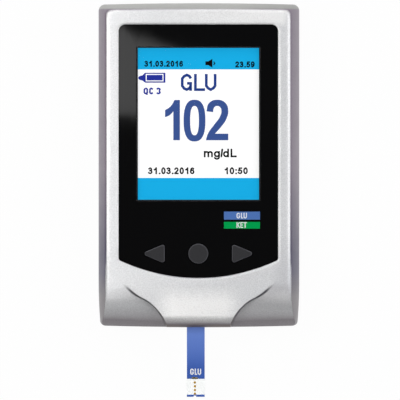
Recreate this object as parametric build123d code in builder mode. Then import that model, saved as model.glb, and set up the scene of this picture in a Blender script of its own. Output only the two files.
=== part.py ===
from build123d import *
import math
import os

os.makedirs("parts", exist_ok=True)

# Handheld blood glucose meter with a test strip in its port. Millimetres.
# The meter lies on its back: +Z out of the display, +Y to the top end, +X to the right of the display.
# The origin is the centre of the flat rear face.

# ---- Body ----
body_width = 62.0           # widest section, at the parting line
body_length = 100.0
crown_height = 23.0         # rear face to the highest line of the front face
crown_radius = 525.0        # front face curves down to both sides
parting_height = 10.5       # rear face to the joint between the two covers
side_inset = 2.7            # front face drawn in from the parting line, at each side
top_inset = 1.7             # and at the top end
waist_share = 0.28          # share of the inset reached at half the height of the front cover
shelf_share = 0.75          # share of the inset followed by the hollow at the shelf
end_sag = 0.45              # curve of the top and bottom edges in plan
corner_radius = 2.0         # top corners in plan
heel_radius = 1.5           # bottom corners in plan
inner_corner = 3.0          # corners of the hollow in the rear cover
flank_length = 14.0         # lower stretch of each side that curves in
flank_draw = 0.6            # how far it curves in
nose_radius = 4.6           # rounding of the bottom end
nose_fall = 12.5            # from the bottom end to where the front face begins to fall
nose_fall_radius = 42.0
nose_lift = 0.02            # the fall starts this far over the front face
rear_inset = 1.3            # rear face drawn in from the parting line, all round
rear_corner = 3.5           # its corners in plan
rear_rounding = 2.6         # edge of the rear face
front_edge_radius = 0.6     # edge round the front face
wall = 1.8
rear_floor = 2.0

# ---- Joint between the covers ----
lip_height = 0.8
lip_thickness = 0.8
lip_gap = 0.1

# ---- Finger scoops beside the strip nose ----
scoop_start = 13.5          # from the bottom end to where the scoops begin, at the top of the crease
scoop_slant = 15.0          # degrees, their start slants towards the middle of the panel
scoop_radius = 14.7         # floor curves down towards the bottom end, at the top of the crease
scoop_spread = 0.4          # and with a larger radius towards the nose, mm for each mm
scoop_lift = 0.03           # floor starts this far over the front face
nose_draft = 4.0            # degrees, side walls of the nose
crease_top = (22.4, 13.2)   # points of the crease: from the centre line, from the bottom end
crease_waist = (16.9, 8.8)
crease_foot = (9.3, -0.4)
crease_heading = 26.0       # degrees, slope of the crease at its waist

# ---- Lens panel ----
panel_side_margin = 6.525   # from the widest section of the body
panel_top_margin = 6.67     # from the top end
panel_shoulder_margin = 20.9  # from the bottom end to where its curved lower edge begins
panel_bottom_margin = 15.4  # and to its lowest point
panel_corner = 2.0
panel_shoulder_radius = 0.9
panel_underside = 20.9
panel_gap = 0.1             # round the edge, in the recess
panel_sink = 0.15           # below the front face
adhesive_thickness = 0.15
adhesive_width = 1.2
shelf_thickness = 1.5       # floor of the recess

# ---- Display ----
view_side_margin = 5.625    # from the sides of the panel to the viewing area
view_top_margin = 7.05      # from the top edge of the panel
view_key_margin = 16.48     # from the row of keys
view_margin = 0.35          # window beyond the viewing area, each side
window_corner = 0.4
window_gap = 0.02
glass_side_border = 2.35    # glass beyond the viewing area
glass_end_border = 3.6
glass_shift = 0.78          # further towards the keys than towards the top
glass_thickness = 1.8
glass_chamfer = 0.3
display_corner = 1.0        # corners of the gasket and the tray
backlight_corner = 0.8
backlight_thickness = 2.1
gasket_thickness = 0.5
gasket_margin = 0.9         # gasket opening beyond the viewing area
tray_wall = 0.9
tray_floor = 1.0
tray_gap = 0.2              # glass in the tray
tray_clearance = 0.3        # tray in the opening of the shelf
tray_foot = 3.0
tray_foot_corner = 0.6
flex_width = 16.0
flex_thickness = 0.15
flex_bend = 0.8
flex_rise = 0.7             # board to the flex in its connector
flex_side_gap = 0.5         # in the notch of the tray
flex_socket_width = 19.0
flex_socket_length = 3.2
flex_socket_height = 1.4
flex_socket_clearance = 2.6  # from the key switches
flex_insertion = 2.2        # flex inside the socket
flex_slot_gap = 0.05

# ---- Main board ----
board_underside = 13.3
board_thickness = 1.0
board_side_margin = 5.0     # from the widest section of the body
board_top_margin = 3.5      # from the top end
board_bottom_margin = 4.0   # from the bottom end
board_corner = 1.5
boss_diameter = 5.2
boss_clearance = 0.4        # board round the case bosses
board_boss_diameter = 4.4
board_boss_side = 6.1       # from the widest section of the body
board_boss_bottom = 30.0    # from the bottom end
board_boss_top = 20.0       # from the top end

# ---- Fasteners ----
case_screw_side = 6.5       # from the widest section of the body
case_screw_top = 5.7        # from the top end
case_screw_bottom = 12.0    # from the bottom end
case_screw_shank = 2.0
case_screw_head = 4.0
case_screw_head_height = 1.6
case_screw_sink = 0.6       # head below the rear face
case_screw_grip = 5.0       # shank inside the front boss
pilot_spare = 1.0           # pilot hole beyond the shank
small_screw_shank = 1.6
small_screw_head = 3.2
small_screw_head_height = 1.0
small_screw_grip = 3.6
small_pilot_spare = 0.4
screw_gap = 0.03            # shank in its pilot hole
hole_clearance = 0.15       # shank in a clearance hole
drive_recess = 0.5          # depth of the cross recess
drive_length = 0.55         # length of its arms, share of the head
drive_width = 0.14          # and their width
boss_gap = 0.1              # between the bosses of the two covers

# ---- Keys ----
key_row_margin = 22.8       # from the bottom end
key_pitch = 13.46
key_diameter = 6.1
arrow_length = 6.2
arrow_height = 5.4
arrow_corner = 0.7
arrow_tip = 1.5             # sharp tip beyond the rounded one, in corner radii
arrow_spread = 0.5          # and the sharp corners at its base
key_gap = 0.15              # key in the hole of the panel
key_stand = 0.35            # above the panel
key_edge = 0.3
key_travel = 0.5
key_flange = 0.8            # rim that holds the key in, and its thickness
flange_gap = 0.05
stem_diameter = 2.4
guide_thickness = 1.2
guide_width = 37.0
guide_length = 9.0
guide_corner = 1.5
guide_screw_x = 6.73
guide_boss_diameter = 4.2
switch_size = 4.6
switch_height = 1.5
switch_chamfer = 0.5
plunger_diameter = 2.0
plunger_height = 0.7
plunger_depth = 0.5         # inside the switch
plunger_gap = 0.1

# ---- Test strip and its port ----
strip_offset = -0.95        # port from the centre line
strip_width = 5.5
strip_length = 30.1
strip_depth = 8.5           # length inside the meter
strip_height = 11.55        # rear face to the underside of the strip
strip_base = 0.35
strip_film = 0.15
film_start = 5.0            # bare contacts at the inner end
film_end = 5.6              # bare base at the outer end
tip_film = 0.67
notch_radius = 0.43
notch_offset = -0.28
port_side_gap = 0.3
port_height = 1.5
port_flare = 1.2
port_flare_depth = 1.0
port_corner = 0.5
port_spare = 0.5            # port cut beyond the wall, inside
port_gap = 0.05             # and beyond the bottom end
connector_width = 11.0
connector_length = 10.5
connector_start = 2.3       # bottom end of the body to the connector
connector_under = 0.75      # housing below the channel
channel_gap = 0.06
contact_count = 4
contact_pitch = 1.15
contact_width = 0.5
contact_thickness = 0.15
contact_slot_gap = 0.1
contact_slot_end = 1.2      # housing left at the mouth of the slots
contact_gap = 0.03          # over the strip
contact_tail = 1.2          # soldered end behind the housing
contact_root_length = 1.4   # flat on the board inside the housing
contact_touch = 4.4         # mouth of the housing to the point of contact
contact_lead = 2.6          # and to the lifted tip
contact_lift = 0.6
contact_bend = 0.5

# ---- Strip ejector ----
ejector_travel = 9.0
blade_thickness = 2.0
blade_gap = 0.15
blade_start = 0.05          # behind the strip
blade_tip = 2.9             # length of the narrow tip that enters the port
blade_tip_under = 0.35      # tip below the strip
blade_root = 5.4            # tip end to the back of the blade
blade_lean = 2.1            # front edge leans back towards its foot
thumb_width = 11.0
thumb_length = 10.0
thumb_corner = 1.0
thumb_sink = 0.3            # below the rear face
thumb_thickness = 0.9
thumb_rest_margin = 31.0    # bottom end to the centre of the thumb piece at rest
thumb_gap = 0.3
track_depth = 1.4
track_floor = 1.2
neck_width = 3.6
neck_length = 5.0
neck_gap = 0.2
carriage_width = 9.0
carriage_length = 15.0
carriage_lead = 8.0         # carriage ahead of the centre of the thumb piece
carriage_thickness = 1.4
carriage_gap = 0.08
carriage_corner = 1.0
blade_heel = 2.0            # back of the blade from the back of the carriage
spring_offset = 4.0         # beside the blade
spring_radius = 1.5
spring_wire = 0.45
spring_turns = 8
spring_slack = 0.05         # at each end
spring_axis_height = 6.2
spring_seat = 3.2           # seat of the spring from the wall of the bottom end
seat_thickness = 1.5
seat_width = 3.4

# ---- Batteries (AAA, 44.5 long in this body) ----
cell_diameter = 10.5
cell_edge = 0.4
cell_nub_diameter = 3.8
cell_nub_length = 0.9
cell_gap = 0.25             # between the cells and to the bay
cell_height = 6.9           # rear face to the axis of the cells
bay_top_margin = 7.9        # from the top end
bay_track_margin = 6.1      # from the track of the thumb piece
bay_wall = 1.2
bay_ceiling = 0.9
contact_space = 2.6         # springs at the flat end of a cell
plate_thickness = 0.4
plate_width = 8.0
plate_gap = 0.1             # below the roof of the bay
tab_width = 2.4
button_diameter = 5.0       # raised boss that meets the nub of a cell
button_gap = 0.05
cell_spring_wire = 0.5
cell_spring_turns = 3
cell_spring_radius = 3.4
cell_spring_cone = 20.0     # degrees
cell_spring_gap = 0.1

# ---- Parts on the board ----
chip_bay_gap = 0.425        # leads of the microcontroller from the battery bay
chip_edge_room = 1.5        # and from the edge of the board
controller_step = 11.0      # above the lower screws of the board
memory_step = 18.0          # above the microcontroller
memory_size = (6.0, 8.0)
analog_offset = (-10.55, 8.5)  # from the port and from the bottom end
analog_size = 5.0
chip_height = 1.3
chip_stand = 0.15
chip_chamfer = 0.15
lead_pitch = 1.2
lead_width = 0.5
lead_length = 1.0
lead_end_gap = 0.95         # from the outermost leads to the ends of the chip
buzzer_diameter = 9.0
buzzer_height = 3.0
buzzer_chamfer = 0.4
buzzer_port = 1.6
sound_hole = 1.2
sound_hole_pitch = 2.2
sound_hole_count = 4
crystal_step = 11.0         # above the memory chip
crystal_size = (5.0, 3.2)
crystal_height = 1.0
crystal_corner = 0.6
crystal_edge = 0.2
capacitor_step = 17.0       # above the buzzer
capacitor_size = (1.6, 2.4)
capacitor_height = 1.1
capacitor_chamfer = 0.15
capacitor_pitch = (3.2, 4.4)
capacitor_rows = 3
capacitor_columns = 2

# ---- Battery door ----
door_width = 25.8
door_thickness = 1.5
door_gap = 0.1
door_overlap = 1.4          # door below the bay
tongue_width = 0.8
tongue_thickness = 0.5
tongue_height = 0.7
tongue_gap = 0.06
ridge_count = 6
ridge_pitch = 1.6
ridge_depth = 0.4
ridge_length = 14.0
ridge_margin = 14.0         # top end to the middle of the door's ridges

# ---- Values that follow from these ----
bottom_end = -body_length / 2
top_end = body_length / 2
front_height = crown_height - parting_height
crown_axis = Axis((0, 0, crown_height - crown_radius), (0, 1, 0))
panel_width = body_width - 2 * panel_side_margin
panel_top = top_end - panel_top_margin
panel_shoulder = bottom_end + panel_shoulder_margin
panel_bottom = bottom_end + panel_bottom_margin
key_row = bottom_end + key_row_margin
view_width = panel_width - 2 * view_side_margin
view_top = panel_top - view_top_margin
view_length = view_top - key_row - view_key_margin
view_centre = view_top - view_length / 2
glass_width = view_width + 2 * glass_side_border
glass_length = view_length + 2 * glass_end_border
glass_centre = view_centre - glass_shift
shelf_top = panel_underside - adhesive_thickness
shelf_bottom = shelf_top - shelf_thickness
board_top = board_underside + board_thickness
board_width = body_width - 2 * board_side_margin
board_length = body_length - board_top_margin - board_bottom_margin
board_centre = (board_bottom_margin - board_top_margin) / 2
glass_top = panel_underside - gasket_thickness
backlight_top = glass_top - glass_thickness
tray_inside = backlight_top - backlight_thickness
tray_bottom = tray_inside - tray_floor
tray_width = glass_width + 2 * (tray_gap + tray_wall)
tray_length = glass_length + 2 * (tray_gap + tray_wall)
flange_top = shelf_bottom - flange_gap
guide_top = flange_top - key_flange - key_travel - flange_gap
guide_bottom = guide_top - guide_thickness
switch_top = board_top + switch_height
strip_inner = bottom_end + strip_depth
strip_outer = strip_inner - strip_length
strip_top = strip_height + strip_base + strip_film
thumb_rest = bottom_end + thumb_rest_margin
track_low = thumb_rest - thumb_length / 2 - ejector_travel - thumb_gap
track_high = thumb_rest + thumb_length / 2 + thumb_gap
track_top = track_depth + track_floor
cell_spacing = cell_diameter + cell_gap
bay_width = 2 * cell_diameter + 3 * cell_gap
bay_bottom = track_high + bay_track_margin
bay_top = top_end - bay_top_margin
bay_length = bay_top - bay_bottom
bay_centre = (bay_top + bay_bottom) / 2
bay_roof = cell_height + cell_diameter / 2 + cell_gap / 2
cell_low = bay_bottom + contact_space
cell_high = bay_top - contact_space
cell_length = cell_high - cell_low
door_low_end = bay_bottom - door_overlap
carriage_bottom = track_top + carriage_gap
carriage_top = carriage_bottom + carriage_thickness
carriage_front = thumb_rest - carriage_lead
carriage_back = carriage_front + carriage_length
spring_x = strip_offset + spring_offset
spring_foot = bottom_end + wall + spring_seat
case_screw_x = body_width / 2 - case_screw_side
case_screw_places = [
    (x, y)
    for x in (-case_screw_x, case_screw_x)
    for y in (bottom_end + case_screw_bottom, top_end - case_screw_top)
]
board_boss_x = body_width / 2 - board_boss_side
board_boss_low = bottom_end + board_boss_bottom
board_screw_places = [
    (x, y) for x in (-board_boss_x, board_boss_x) for y in (board_boss_low, top_end - board_boss_top)
]
guide_screw_places = [(-guide_screw_x, key_row), (guide_screw_x, key_row)]
bay_side = bay_width / 2 + bay_wall
controller_size = board_width / 2 - bay_side - chip_bay_gap - chip_edge_room - 2 * lead_length
chip_column = bay_side + chip_bay_gap + lead_length + controller_size / 2
controller_place = (chip_column, board_boss_low + controller_step)
memory_place = (chip_column, controller_place[1] + memory_step)
crystal_place = (chip_column, memory_place[1] + crystal_step)
buzzer_place = (-chip_column, controller_place[1])
capacitor_place = (-chip_column, buzzer_place[1] + capacitor_step)
analog_place = (strip_offset + analog_offset[0], bottom_end + analog_offset[1])


def save(piece, node):
    """Label a finished piece and write it to its own file."""
    piece.part.label = node
    export_step(piece.part, f"parts/{node}.step")


def body_outline(side, top, bottom, corner=corner_radius, heel=heel_radius):
    """Plan outline of the body, drawn in by these amounts from its widest section."""
    half = body_width / 2 - side
    foot = half - flank_draw
    flank_top = bottom_end + flank_length
    high = top_end - top
    low = bottom_end + bottom
    with BuildLine() as outline:
        ThreePointArc((-half, high - end_sag), (0, high), (half, high - end_sag))
        Line((half, high - end_sag), (half, flank_top))
        TangentArc((half, flank_top), (foot, low + end_sag), tangent=(0, -1))
        ThreePointArc((foot, low + end_sag), (0, low), (-foot, low + end_sag))
        TangentArc((-half, flank_top), (-foot, low + end_sag), tangent=(0, -1))
        Line((-half, flank_top), (-half, high - end_sag))
    make_face(outline.edges())
    fillet(vertices().group_by(Axis.Y)[-1], corner)
    fillet(vertices().group_by(Axis.Y)[0], heel)


def crown_sag(x):
    """How far the front face has come down at this distance from the centre line."""
    return crown_radius - math.sqrt(crown_radius**2 - x**2)


def under_crown(drop):
    """Keep what lies under the front face lowered by drop."""
    reach = body_width
    low = crown_height - drop - crown_sag(reach)
    with BuildSketch(Plane.XZ) as profile:
        with BuildLine():
            crest = ThreePointArc((-reach, low), (0, crown_height - drop), (reach, low))
            Polyline(
                crest @ 1, (reach, -crown_height), (-reach, -crown_height), crest @ 0
            )
        make_face()
    extrude(profile.sketch, amount=2 * body_length, both=True, mode=Mode.INTERSECT)


def inside_nose(drop):
    """Keep what lies inside the fall of the front face to the rounded bottom end, moved in by drop."""
    swing = math.asin(body_width / crown_radius)
    low = bottom_end + drop
    high = crown_radius + nose_lift - drop
    lean = math.asin((nose_fall - nose_radius) / (nose_fall_radius - nose_radius))
    fall_centre = high - nose_fall_radius
    bend_centre = fall_centre + (nose_fall_radius - nose_radius) * math.cos(lean)
    side_plane = Plane(
        crown_axis.position, x_dir=(0, 1, 0), z_dir=(math.cos(swing), 0, math.sin(swing))
    )
    turn = math.degrees(lean)
    with BuildSketch(side_plane) as profile:
        with BuildLine():
            fall = CenterArc((low + nose_fall, fall_centre), nose_fall_radius, 90, turn)
            bend = CenterArc((low + nose_radius, bend_centre), nose_radius, 90 + turn, 90 - turn)
            Polyline(
                bend @ 1,
                (low, high - 2 * crown_height),
                (body_length, high - 2 * crown_height),
                (body_length, high + crown_height),
                (low + nose_fall, high + crown_height),
                fall @ 0,
            )
        make_face()
    revolve(
        profile.sketch,
        axis=crown_axis,
        revolution_arc=2 * math.degrees(swing),
        mode=Mode.INTERSECT,
    )


def panel_outline():
    """Black panel in plan: straight sides and a curved lower edge."""
    half = panel_width / 2
    with BuildLine() as outline:
        Polyline(
            (half, panel_shoulder), (half, panel_top), (-half, panel_top), (-half, panel_shoulder)
        )
        ThreePointArc((-half, panel_shoulder), (0, panel_bottom), (half, panel_shoulder))
    make_face(outline.edges())
    fillet(vertices().group_by(Axis.Y)[-1], panel_corner)
    fillet(vertices().group_by(Axis.Y)[0], panel_shoulder_radius)


def key_outline(direction):
    """Key in plan, in its place: round in the middle (0), an arrow to the left (-1) or right (1)."""
    if direction == 0:
        with Locations((0, key_row)):
            Circle(key_diameter / 2)
    else:
        base = direction * (key_pitch - arrow_length / 2)
        point = direction * (key_pitch + arrow_length / 2 + arrow_tip * arrow_corner)
        half = arrow_height / 2 + arrow_spread * arrow_corner
        with BuildLine() as outline:
            Polyline((base, key_row - half), (point, key_row), (base, key_row + half), close=True)
        make_face(outline.edges())
        fillet(vertices(), arrow_corner)


def scoop(side, growth):
    """Space over one finger scoop, with its floor and its nose wall moved inwards by growth."""
    far = body_width
    top = bottom_end + crease_top[1]
    points = [
        (side * x, bottom_end + y) for x, y in (crease_top, crease_waist, crease_foot)
    ]
    heading = math.radians(crease_heading)
    down = (-side * math.cos(heading), -math.sin(heading))
    up = (side * math.cos(heading), math.sin(heading))
    with BuildPart() as space:
        with BuildSketch(Plane.XY.offset(crown_height)):
            with BuildLine():
                upper = TangentArc(points[1], points[0], tangent=up)
                lower = TangentArc(points[1], points[2], tangent=down)
                Polyline(
                    upper @ 1,
                    (side * crease_top[0], top + crease_top[1]),
                    (side * far, top + crease_top[1]),
                    (side * far, bottom_end - far),
                    (side * crease_foot[0], bottom_end - far),
                    lower @ 1,
                )
            make_face()
            if growth > 0:
                offset(amount=growth, kind=Kind.INTERSECTION)
        extrude(amount=-crown_height, taper=nose_draft)
        with BuildSketch(Plane.XY.offset(crown_height)):
            with Locations((side * far / 2, bottom_end)):
                Rectangle(far, far)
        extrude(amount=nose_radius)
        add(scoop_room(side, growth), mode=Mode.INTERSECT)
    return space.part


def scoop_room(side, growth):
    """All that lies over the floor of a scoop, which falls from a slanted line on the front face."""
    inner, outer = crease_foot[0] / 2, body_width / 2 + wall
    steps = 3
    with BuildPart() as room:
        for n in range(steps + 1):
            x = inner + (outer - inner) * n / steps
            outwards = x - crease_top[0]
            radius = scoop_radius - scoop_spread * outwards
            start = bottom_end + scoop_start - math.tan(math.radians(scoop_slant)) * outwards
            level = crown_height - crown_sag(x) + scoop_lift
            with BuildSketch(Plane.YZ.offset(side * x)):
                with BuildLine():
                    floor = CenterArc((start, level - radius), radius - growth, 90, 90)
                    Polyline(
                        floor @ 1,
                        (bottom_end - body_width, level - radius),
                        (bottom_end - body_width, 2 * crown_height),
                        (start, 2 * crown_height),
                        floor @ 0,
                    )
                make_face()
        loft()
    return room.part


# ======== Front cover ========
with BuildPart() as front_cavity:
    with BuildSketch(Plane.XY.offset(parting_height)):
        body_outline(wall, wall, wall)
    with BuildSketch(Plane.XY.offset(shelf_bottom)):
        body_outline(wall + side_inset * shelf_share, wall + top_inset * shelf_share, wall)
    loft()
    inside_nose(wall)
    for side in (-1, 1):
        add(scoop(side, wall), mode=Mode.SUBTRACT)

with BuildPart() as front_cover:
    with BuildSketch(Plane.XY.offset(parting_height)):
        body_outline(0, 0, 0)
    with BuildSketch(Plane.XY.offset(parting_height + front_height / 2)):
        body_outline(side_inset * waist_share, top_inset * waist_share, 0)
    with BuildSketch(Plane.XY.offset(crown_height)):
        body_outline(side_inset, top_inset, 0)
    loft()
    under_crown(0)
    fillet(faces().sort_by(Axis.Z)[-1].edges(), front_edge_radius)
    inside_nose(0)
    for side in (-1, 1):
        add(scoop(side, 0), mode=Mode.SUBTRACT)
    add(front_cavity.part, mode=Mode.SUBTRACT)
    # recess and shelf for the panel
    with BuildSketch(Plane.XY.offset(shelf_top)):
        panel_outline()
        offset(amount=panel_gap)
    extrude(amount=front_height, mode=Mode.SUBTRACT)
    with BuildSketch(Plane.XY.offset(shelf_bottom)):
        with Locations((0, glass_centre)):
            Rectangle(tray_width + 2 * tray_clearance, tray_length + 2 * tray_clearance)
    extrude(amount=front_height, mode=Mode.SUBTRACT)
    # key holes in the shelf
    for direction in (-1, 0, 1):
        with BuildSketch(Plane.XY.offset(shelf_bottom)):
            key_outline(direction)
            offset(amount=key_gap)
        extrude(amount=front_height, mode=Mode.SUBTRACT)
    # bosses for the case screws, the board and the key guide
    boss_foot = parting_height + boss_gap
    with BuildSketch(Plane.XY.offset(boss_foot)):
        with Locations(*case_screw_places):
            Circle(boss_diameter / 2)
    extrude(amount=shelf_bottom - boss_foot + boss_gap)
    with BuildSketch(Plane.XY.offset(board_top)):
        with Locations(*board_screw_places):
            Circle(board_boss_diameter / 2)
    extrude(amount=shelf_bottom - board_top + boss_gap)
    with BuildSketch(Plane.XY.offset(guide_top)):
        with Locations(*guide_screw_places):
            Circle(guide_boss_diameter / 2)
    extrude(amount=shelf_bottom - guide_top + boss_gap)
    # pilot holes
    with BuildSketch(Plane.XY.offset(boss_foot)):
        with Locations(*case_screw_places):
            Circle(case_screw_shank / 2 + screw_gap)
    extrude(amount=case_screw_grip + pilot_spare, mode=Mode.SUBTRACT)
    with BuildSketch(Plane.XY.offset(board_top)):
        with Locations(*board_screw_places):
            Circle(small_screw_shank / 2 + screw_gap)
    extrude(amount=small_screw_grip, mode=Mode.SUBTRACT)
    with BuildSketch(Plane.XY.offset(guide_top)):
        with Locations(*guide_screw_places):
            Circle(small_screw_shank / 2 + screw_gap)
    extrude(amount=shelf_bottom - guide_top - boss_gap, mode=Mode.SUBTRACT)
    # rebate for the lip of the rear cover
    with BuildSketch(Plane.XY.offset(parting_height)):
        body_outline(*[wall - lip_thickness - lip_gap] * 3)
        with BuildSketch(mode=Mode.SUBTRACT):
            body_outline(*[wall + lip_thickness] * 3)
    extrude(amount=lip_height + lip_gap, mode=Mode.SUBTRACT)
    # port for the strip, flared at its mouth
    port_width = strip_width + 2 * port_side_gap
    port_centre = strip_height + (strip_base + strip_film) / 2
    with BuildSketch(Plane.XZ.offset(-bottom_end - port_flare_depth)):
        with Locations((strip_offset, port_centre)):
            RectangleRounded(port_width, port_height, port_corner)
    with BuildSketch(Plane.XZ.offset(-bottom_end + port_gap)):
        with Locations((strip_offset, port_centre)):
            RectangleRounded(port_width + port_flare, port_height + port_flare / 2, port_corner)
    loft(mode=Mode.SUBTRACT)
    with BuildSketch(Plane.XZ.offset(-bottom_end - wall - port_flare_depth)):
        with Locations((strip_offset, port_centre)):
            RectangleRounded(port_width, port_height, port_corner)
    extrude(amount=wall + port_spare, mode=Mode.SUBTRACT)
save(front_cover, "front_cover")

# ======== Rear cover ========
with BuildPart() as rear_shell:
    with BuildSketch(Plane.XY.offset(parting_height)):
        body_outline(0, 0, 0)
    with BuildSketch(Plane.XY):
        body_outline(rear_inset, rear_inset, rear_inset, rear_corner, rear_corner)
    loft(ruled=True)
    fillet(faces().sort_by(Axis.Z)[0].edges(), rear_rounding)

with BuildPart() as rear_hollow:
    with BuildSketch(Plane.XY.offset(parting_height)):
        body_outline(wall, wall, wall, inner_corner, inner_corner)
    with BuildSketch(Plane.XY.offset(rear_floor)):
        floor_inset = wall + rear_inset * (1 - rear_floor / parting_height)
        body_outline(floor_inset, floor_inset, floor_inset, rear_corner, rear_corner)
    loft(ruled=True)
    fillet(faces().sort_by(Axis.Z)[0].edges(), rear_rounding / 2)

with BuildPart() as door_space:
    # opening for the door and the grooves that its tongues slide in
    with BuildSketch(Plane.XZ.offset(-door_low_end + door_gap)):
        with Locations((0, (door_thickness + door_gap) / 2 - rear_floor / 2)):
            Rectangle(door_width + 2 * door_gap, door_thickness + door_gap + rear_floor)
        with Locations((0, tongue_height + tongue_thickness / 2)):
            Rectangle(
                door_width + 2 * (tongue_width + door_gap), tongue_thickness + 2 * tongue_gap
            )
    extrude(amount=-body_length)

with BuildPart() as rear_cover:
    add(rear_shell.part)
    add(rear_hollow.part, mode=Mode.SUBTRACT)
    # lip that stands into the front cover
    with BuildSketch(Plane.XY.offset(parting_height - lip_height)):
        body_outline(*[wall - lip_thickness] * 3)
        with BuildSketch(mode=Mode.SUBTRACT):
            body_outline(wall, wall, wall)
    extrude(amount=2 * lip_height)
    with BuildSketch(Plane.XY.offset(parting_height)):
        with Locations((strip_offset, bottom_end)):
            Rectangle(connector_width, 4 * wall)
    extrude(amount=2 * lip_height, mode=Mode.SUBTRACT)
    # bed over the door and battery bay, open to the door
    with BuildSketch(Plane.XY.offset(rear_floor / 2)):
        with Locations((0, (door_low_end + top_end) / 2 - wall)):
            Rectangle(door_width + 2 * (tongue_width + wall), top_end - door_low_end)
    extrude(amount=door_thickness + door_gap + wall - rear_floor / 2)
    with BuildSketch(Plane.XY.offset(rear_floor / 2)):
        with Locations((0, bay_centre)):
            Rectangle(bay_width + 2 * bay_wall, bay_length + 2 * bay_wall)
    extrude(amount=bay_roof + bay_ceiling - rear_floor / 2)
    with BuildSketch(Plane.XY):
        with Locations((0, bay_centre)):
            Rectangle(bay_width, bay_length)
    extrude(amount=bay_roof, mode=Mode.SUBTRACT)
    add(door_space.part, mode=Mode.SUBTRACT)
    # slots in the roof for the tabs of the battery contacts
    with BuildSketch(Plane.XY.offset(bay_roof - bay_ceiling)):
        with Locations((0, bay_centre)):
            with GridLocations(cell_spacing, bay_length - plate_thickness, 2, 2):
                Rectangle(tab_width + 2 * hole_clearance, plate_thickness + 2 * hole_clearance)
    extrude(amount=3 * bay_ceiling, mode=Mode.SUBTRACT)
    # sound holes under the buzzer
    with BuildSketch(Plane.XY):
        with Locations(buzzer_place):
            Circle(sound_hole / 2)
            with PolarLocations(sound_hole_pitch, sound_hole_count):
                Circle(sound_hole / 2)
    extrude(amount=2 * rear_floor, mode=Mode.SUBTRACT)
    # seat for the ejector's spring
    with BuildSketch(Plane.XY.offset(rear_floor / 2)):
        with Locations((spring_x, spring_foot - seat_thickness / 2)):
            Rectangle(seat_width, seat_thickness)
    extrude(amount=spring_axis_height + seat_width / 2 - rear_floor / 2)
    # bosses for the case screws
    with BuildSketch(Plane.XY.offset(rear_floor / 2)):
        with Locations(*case_screw_places):
            Circle(boss_diameter / 2)
    extrude(amount=parting_height - rear_floor / 2)
    with BuildSketch(Plane.XY):
        with Locations(*case_screw_places):
            Circle(case_screw_head / 2 + hole_clearance)
    extrude(amount=case_screw_sink + case_screw_head_height, mode=Mode.SUBTRACT)
    with BuildSketch(Plane.XY):
        with Locations(*case_screw_places):
            Circle(case_screw_shank / 2 + hole_clearance)
    extrude(amount=parting_height, mode=Mode.SUBTRACT)
    # track of the ejector's thumb piece
    track_length = track_high - track_low
    track_centre = (track_high + track_low) / 2
    with BuildSketch(Plane.XY.offset(rear_floor / 2)):
        with Locations((strip_offset, track_centre)):
            Rectangle(thumb_width + 2 * thumb_gap + 2 * wall, track_length + 2 * wall)
    extrude(amount=track_top - rear_floor / 2)
    with BuildSketch(Plane.XY):
        with Locations((strip_offset, track_centre)):
            RectangleRounded(
                thumb_width + 2 * thumb_gap, track_length, thumb_corner + thumb_gap
            )
    extrude(amount=track_depth, mode=Mode.SUBTRACT)
    with BuildSketch(Plane.XY):
        with Locations((strip_offset, thumb_rest - ejector_travel / 2)):
            Rectangle(neck_width + 2 * neck_gap, neck_length + ejector_travel + 2 * neck_gap)
    extrude(amount=2 * track_top, mode=Mode.SUBTRACT)
save(rear_cover, "rear_cover")

# ======== Battery door ========
with BuildPart() as battery_door:
    with BuildSketch(Plane.XZ.offset(-door_low_end)):
        with Locations((0, door_thickness / 2)):
            Rectangle(door_width, door_thickness)
        with Locations((0, tongue_height + tongue_thickness / 2)):
            Rectangle(door_width + 2 * tongue_width, tongue_thickness)
    extrude(amount=-body_length)
    add(rear_shell.part, mode=Mode.INTERSECT)
    # grip ridges are cut in, so that nothing stands below the rear face
    with BuildSketch(Plane.XY):
        with Locations((0, top_end - ridge_margin)):
            with GridLocations(0, ridge_pitch, 1, ridge_count):
                SlotOverall(ridge_length, ridge_pitch / 2)
    extrude(amount=ridge_depth, mode=Mode.SUBTRACT)
save(battery_door, "battery_door")

# ======== Lens panel ========
with BuildPart() as lens_panel:
    with BuildSketch(Plane.XY.offset(panel_underside)):
        panel_outline()
        with Locations((0, view_centre)):
            RectangleRounded(
                view_width + 2 * view_margin,
                view_length + 2 * view_margin,
                window_corner,
                mode=Mode.SUBTRACT,
            )
    extrude(amount=front_height)
    under_crown(panel_sink)
    for direction in (-1, 0, 1):
        with BuildSketch(Plane.XY):
            key_outline(direction)
            offset(amount=key_gap)
        extrude(amount=2 * crown_height, mode=Mode.SUBTRACT)
save(lens_panel, "lens_panel")

with BuildPart() as display_window:
    with BuildSketch(Plane.XY.offset(panel_underside)):
        with Locations((0, view_centre)):
            RectangleRounded(
                view_width + 2 * (view_margin - window_gap),
                view_length + 2 * (view_margin - window_gap),
                window_corner - window_gap,
            )
    extrude(amount=front_height)
    under_crown(panel_sink)
save(display_window, "display_window")

with BuildPart() as lens_adhesive:
    with BuildSketch(Plane.XY.offset(shelf_top)):
        panel_outline()
        with Locations((0, glass_centre)):
            Rectangle(
                tray_width + 2 * tray_clearance,
                tray_length + 2 * tray_clearance,
                mode=Mode.SUBTRACT,
            )
        for direction in (-1, 0, 1):
            with BuildSketch(mode=Mode.SUBTRACT):
                key_outline(direction)
                offset(amount=adhesive_width)
    extrude(amount=adhesive_thickness)
save(lens_adhesive, "lens_adhesive")

# ======== Display ========
with BuildPart() as display_gasket:
    with BuildSketch(Plane.XY.offset(glass_top)):
        with Locations((0, glass_centre)):
            RectangleRounded(glass_width, glass_length, display_corner)
        with Locations((0, view_centre)):
            Rectangle(
                view_width + 2 * gasket_margin,
                view_length + 2 * gasket_margin,
                mode=Mode.SUBTRACT,
            )
    extrude(amount=gasket_thickness)
save(display_gasket, "display_gasket")

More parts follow.
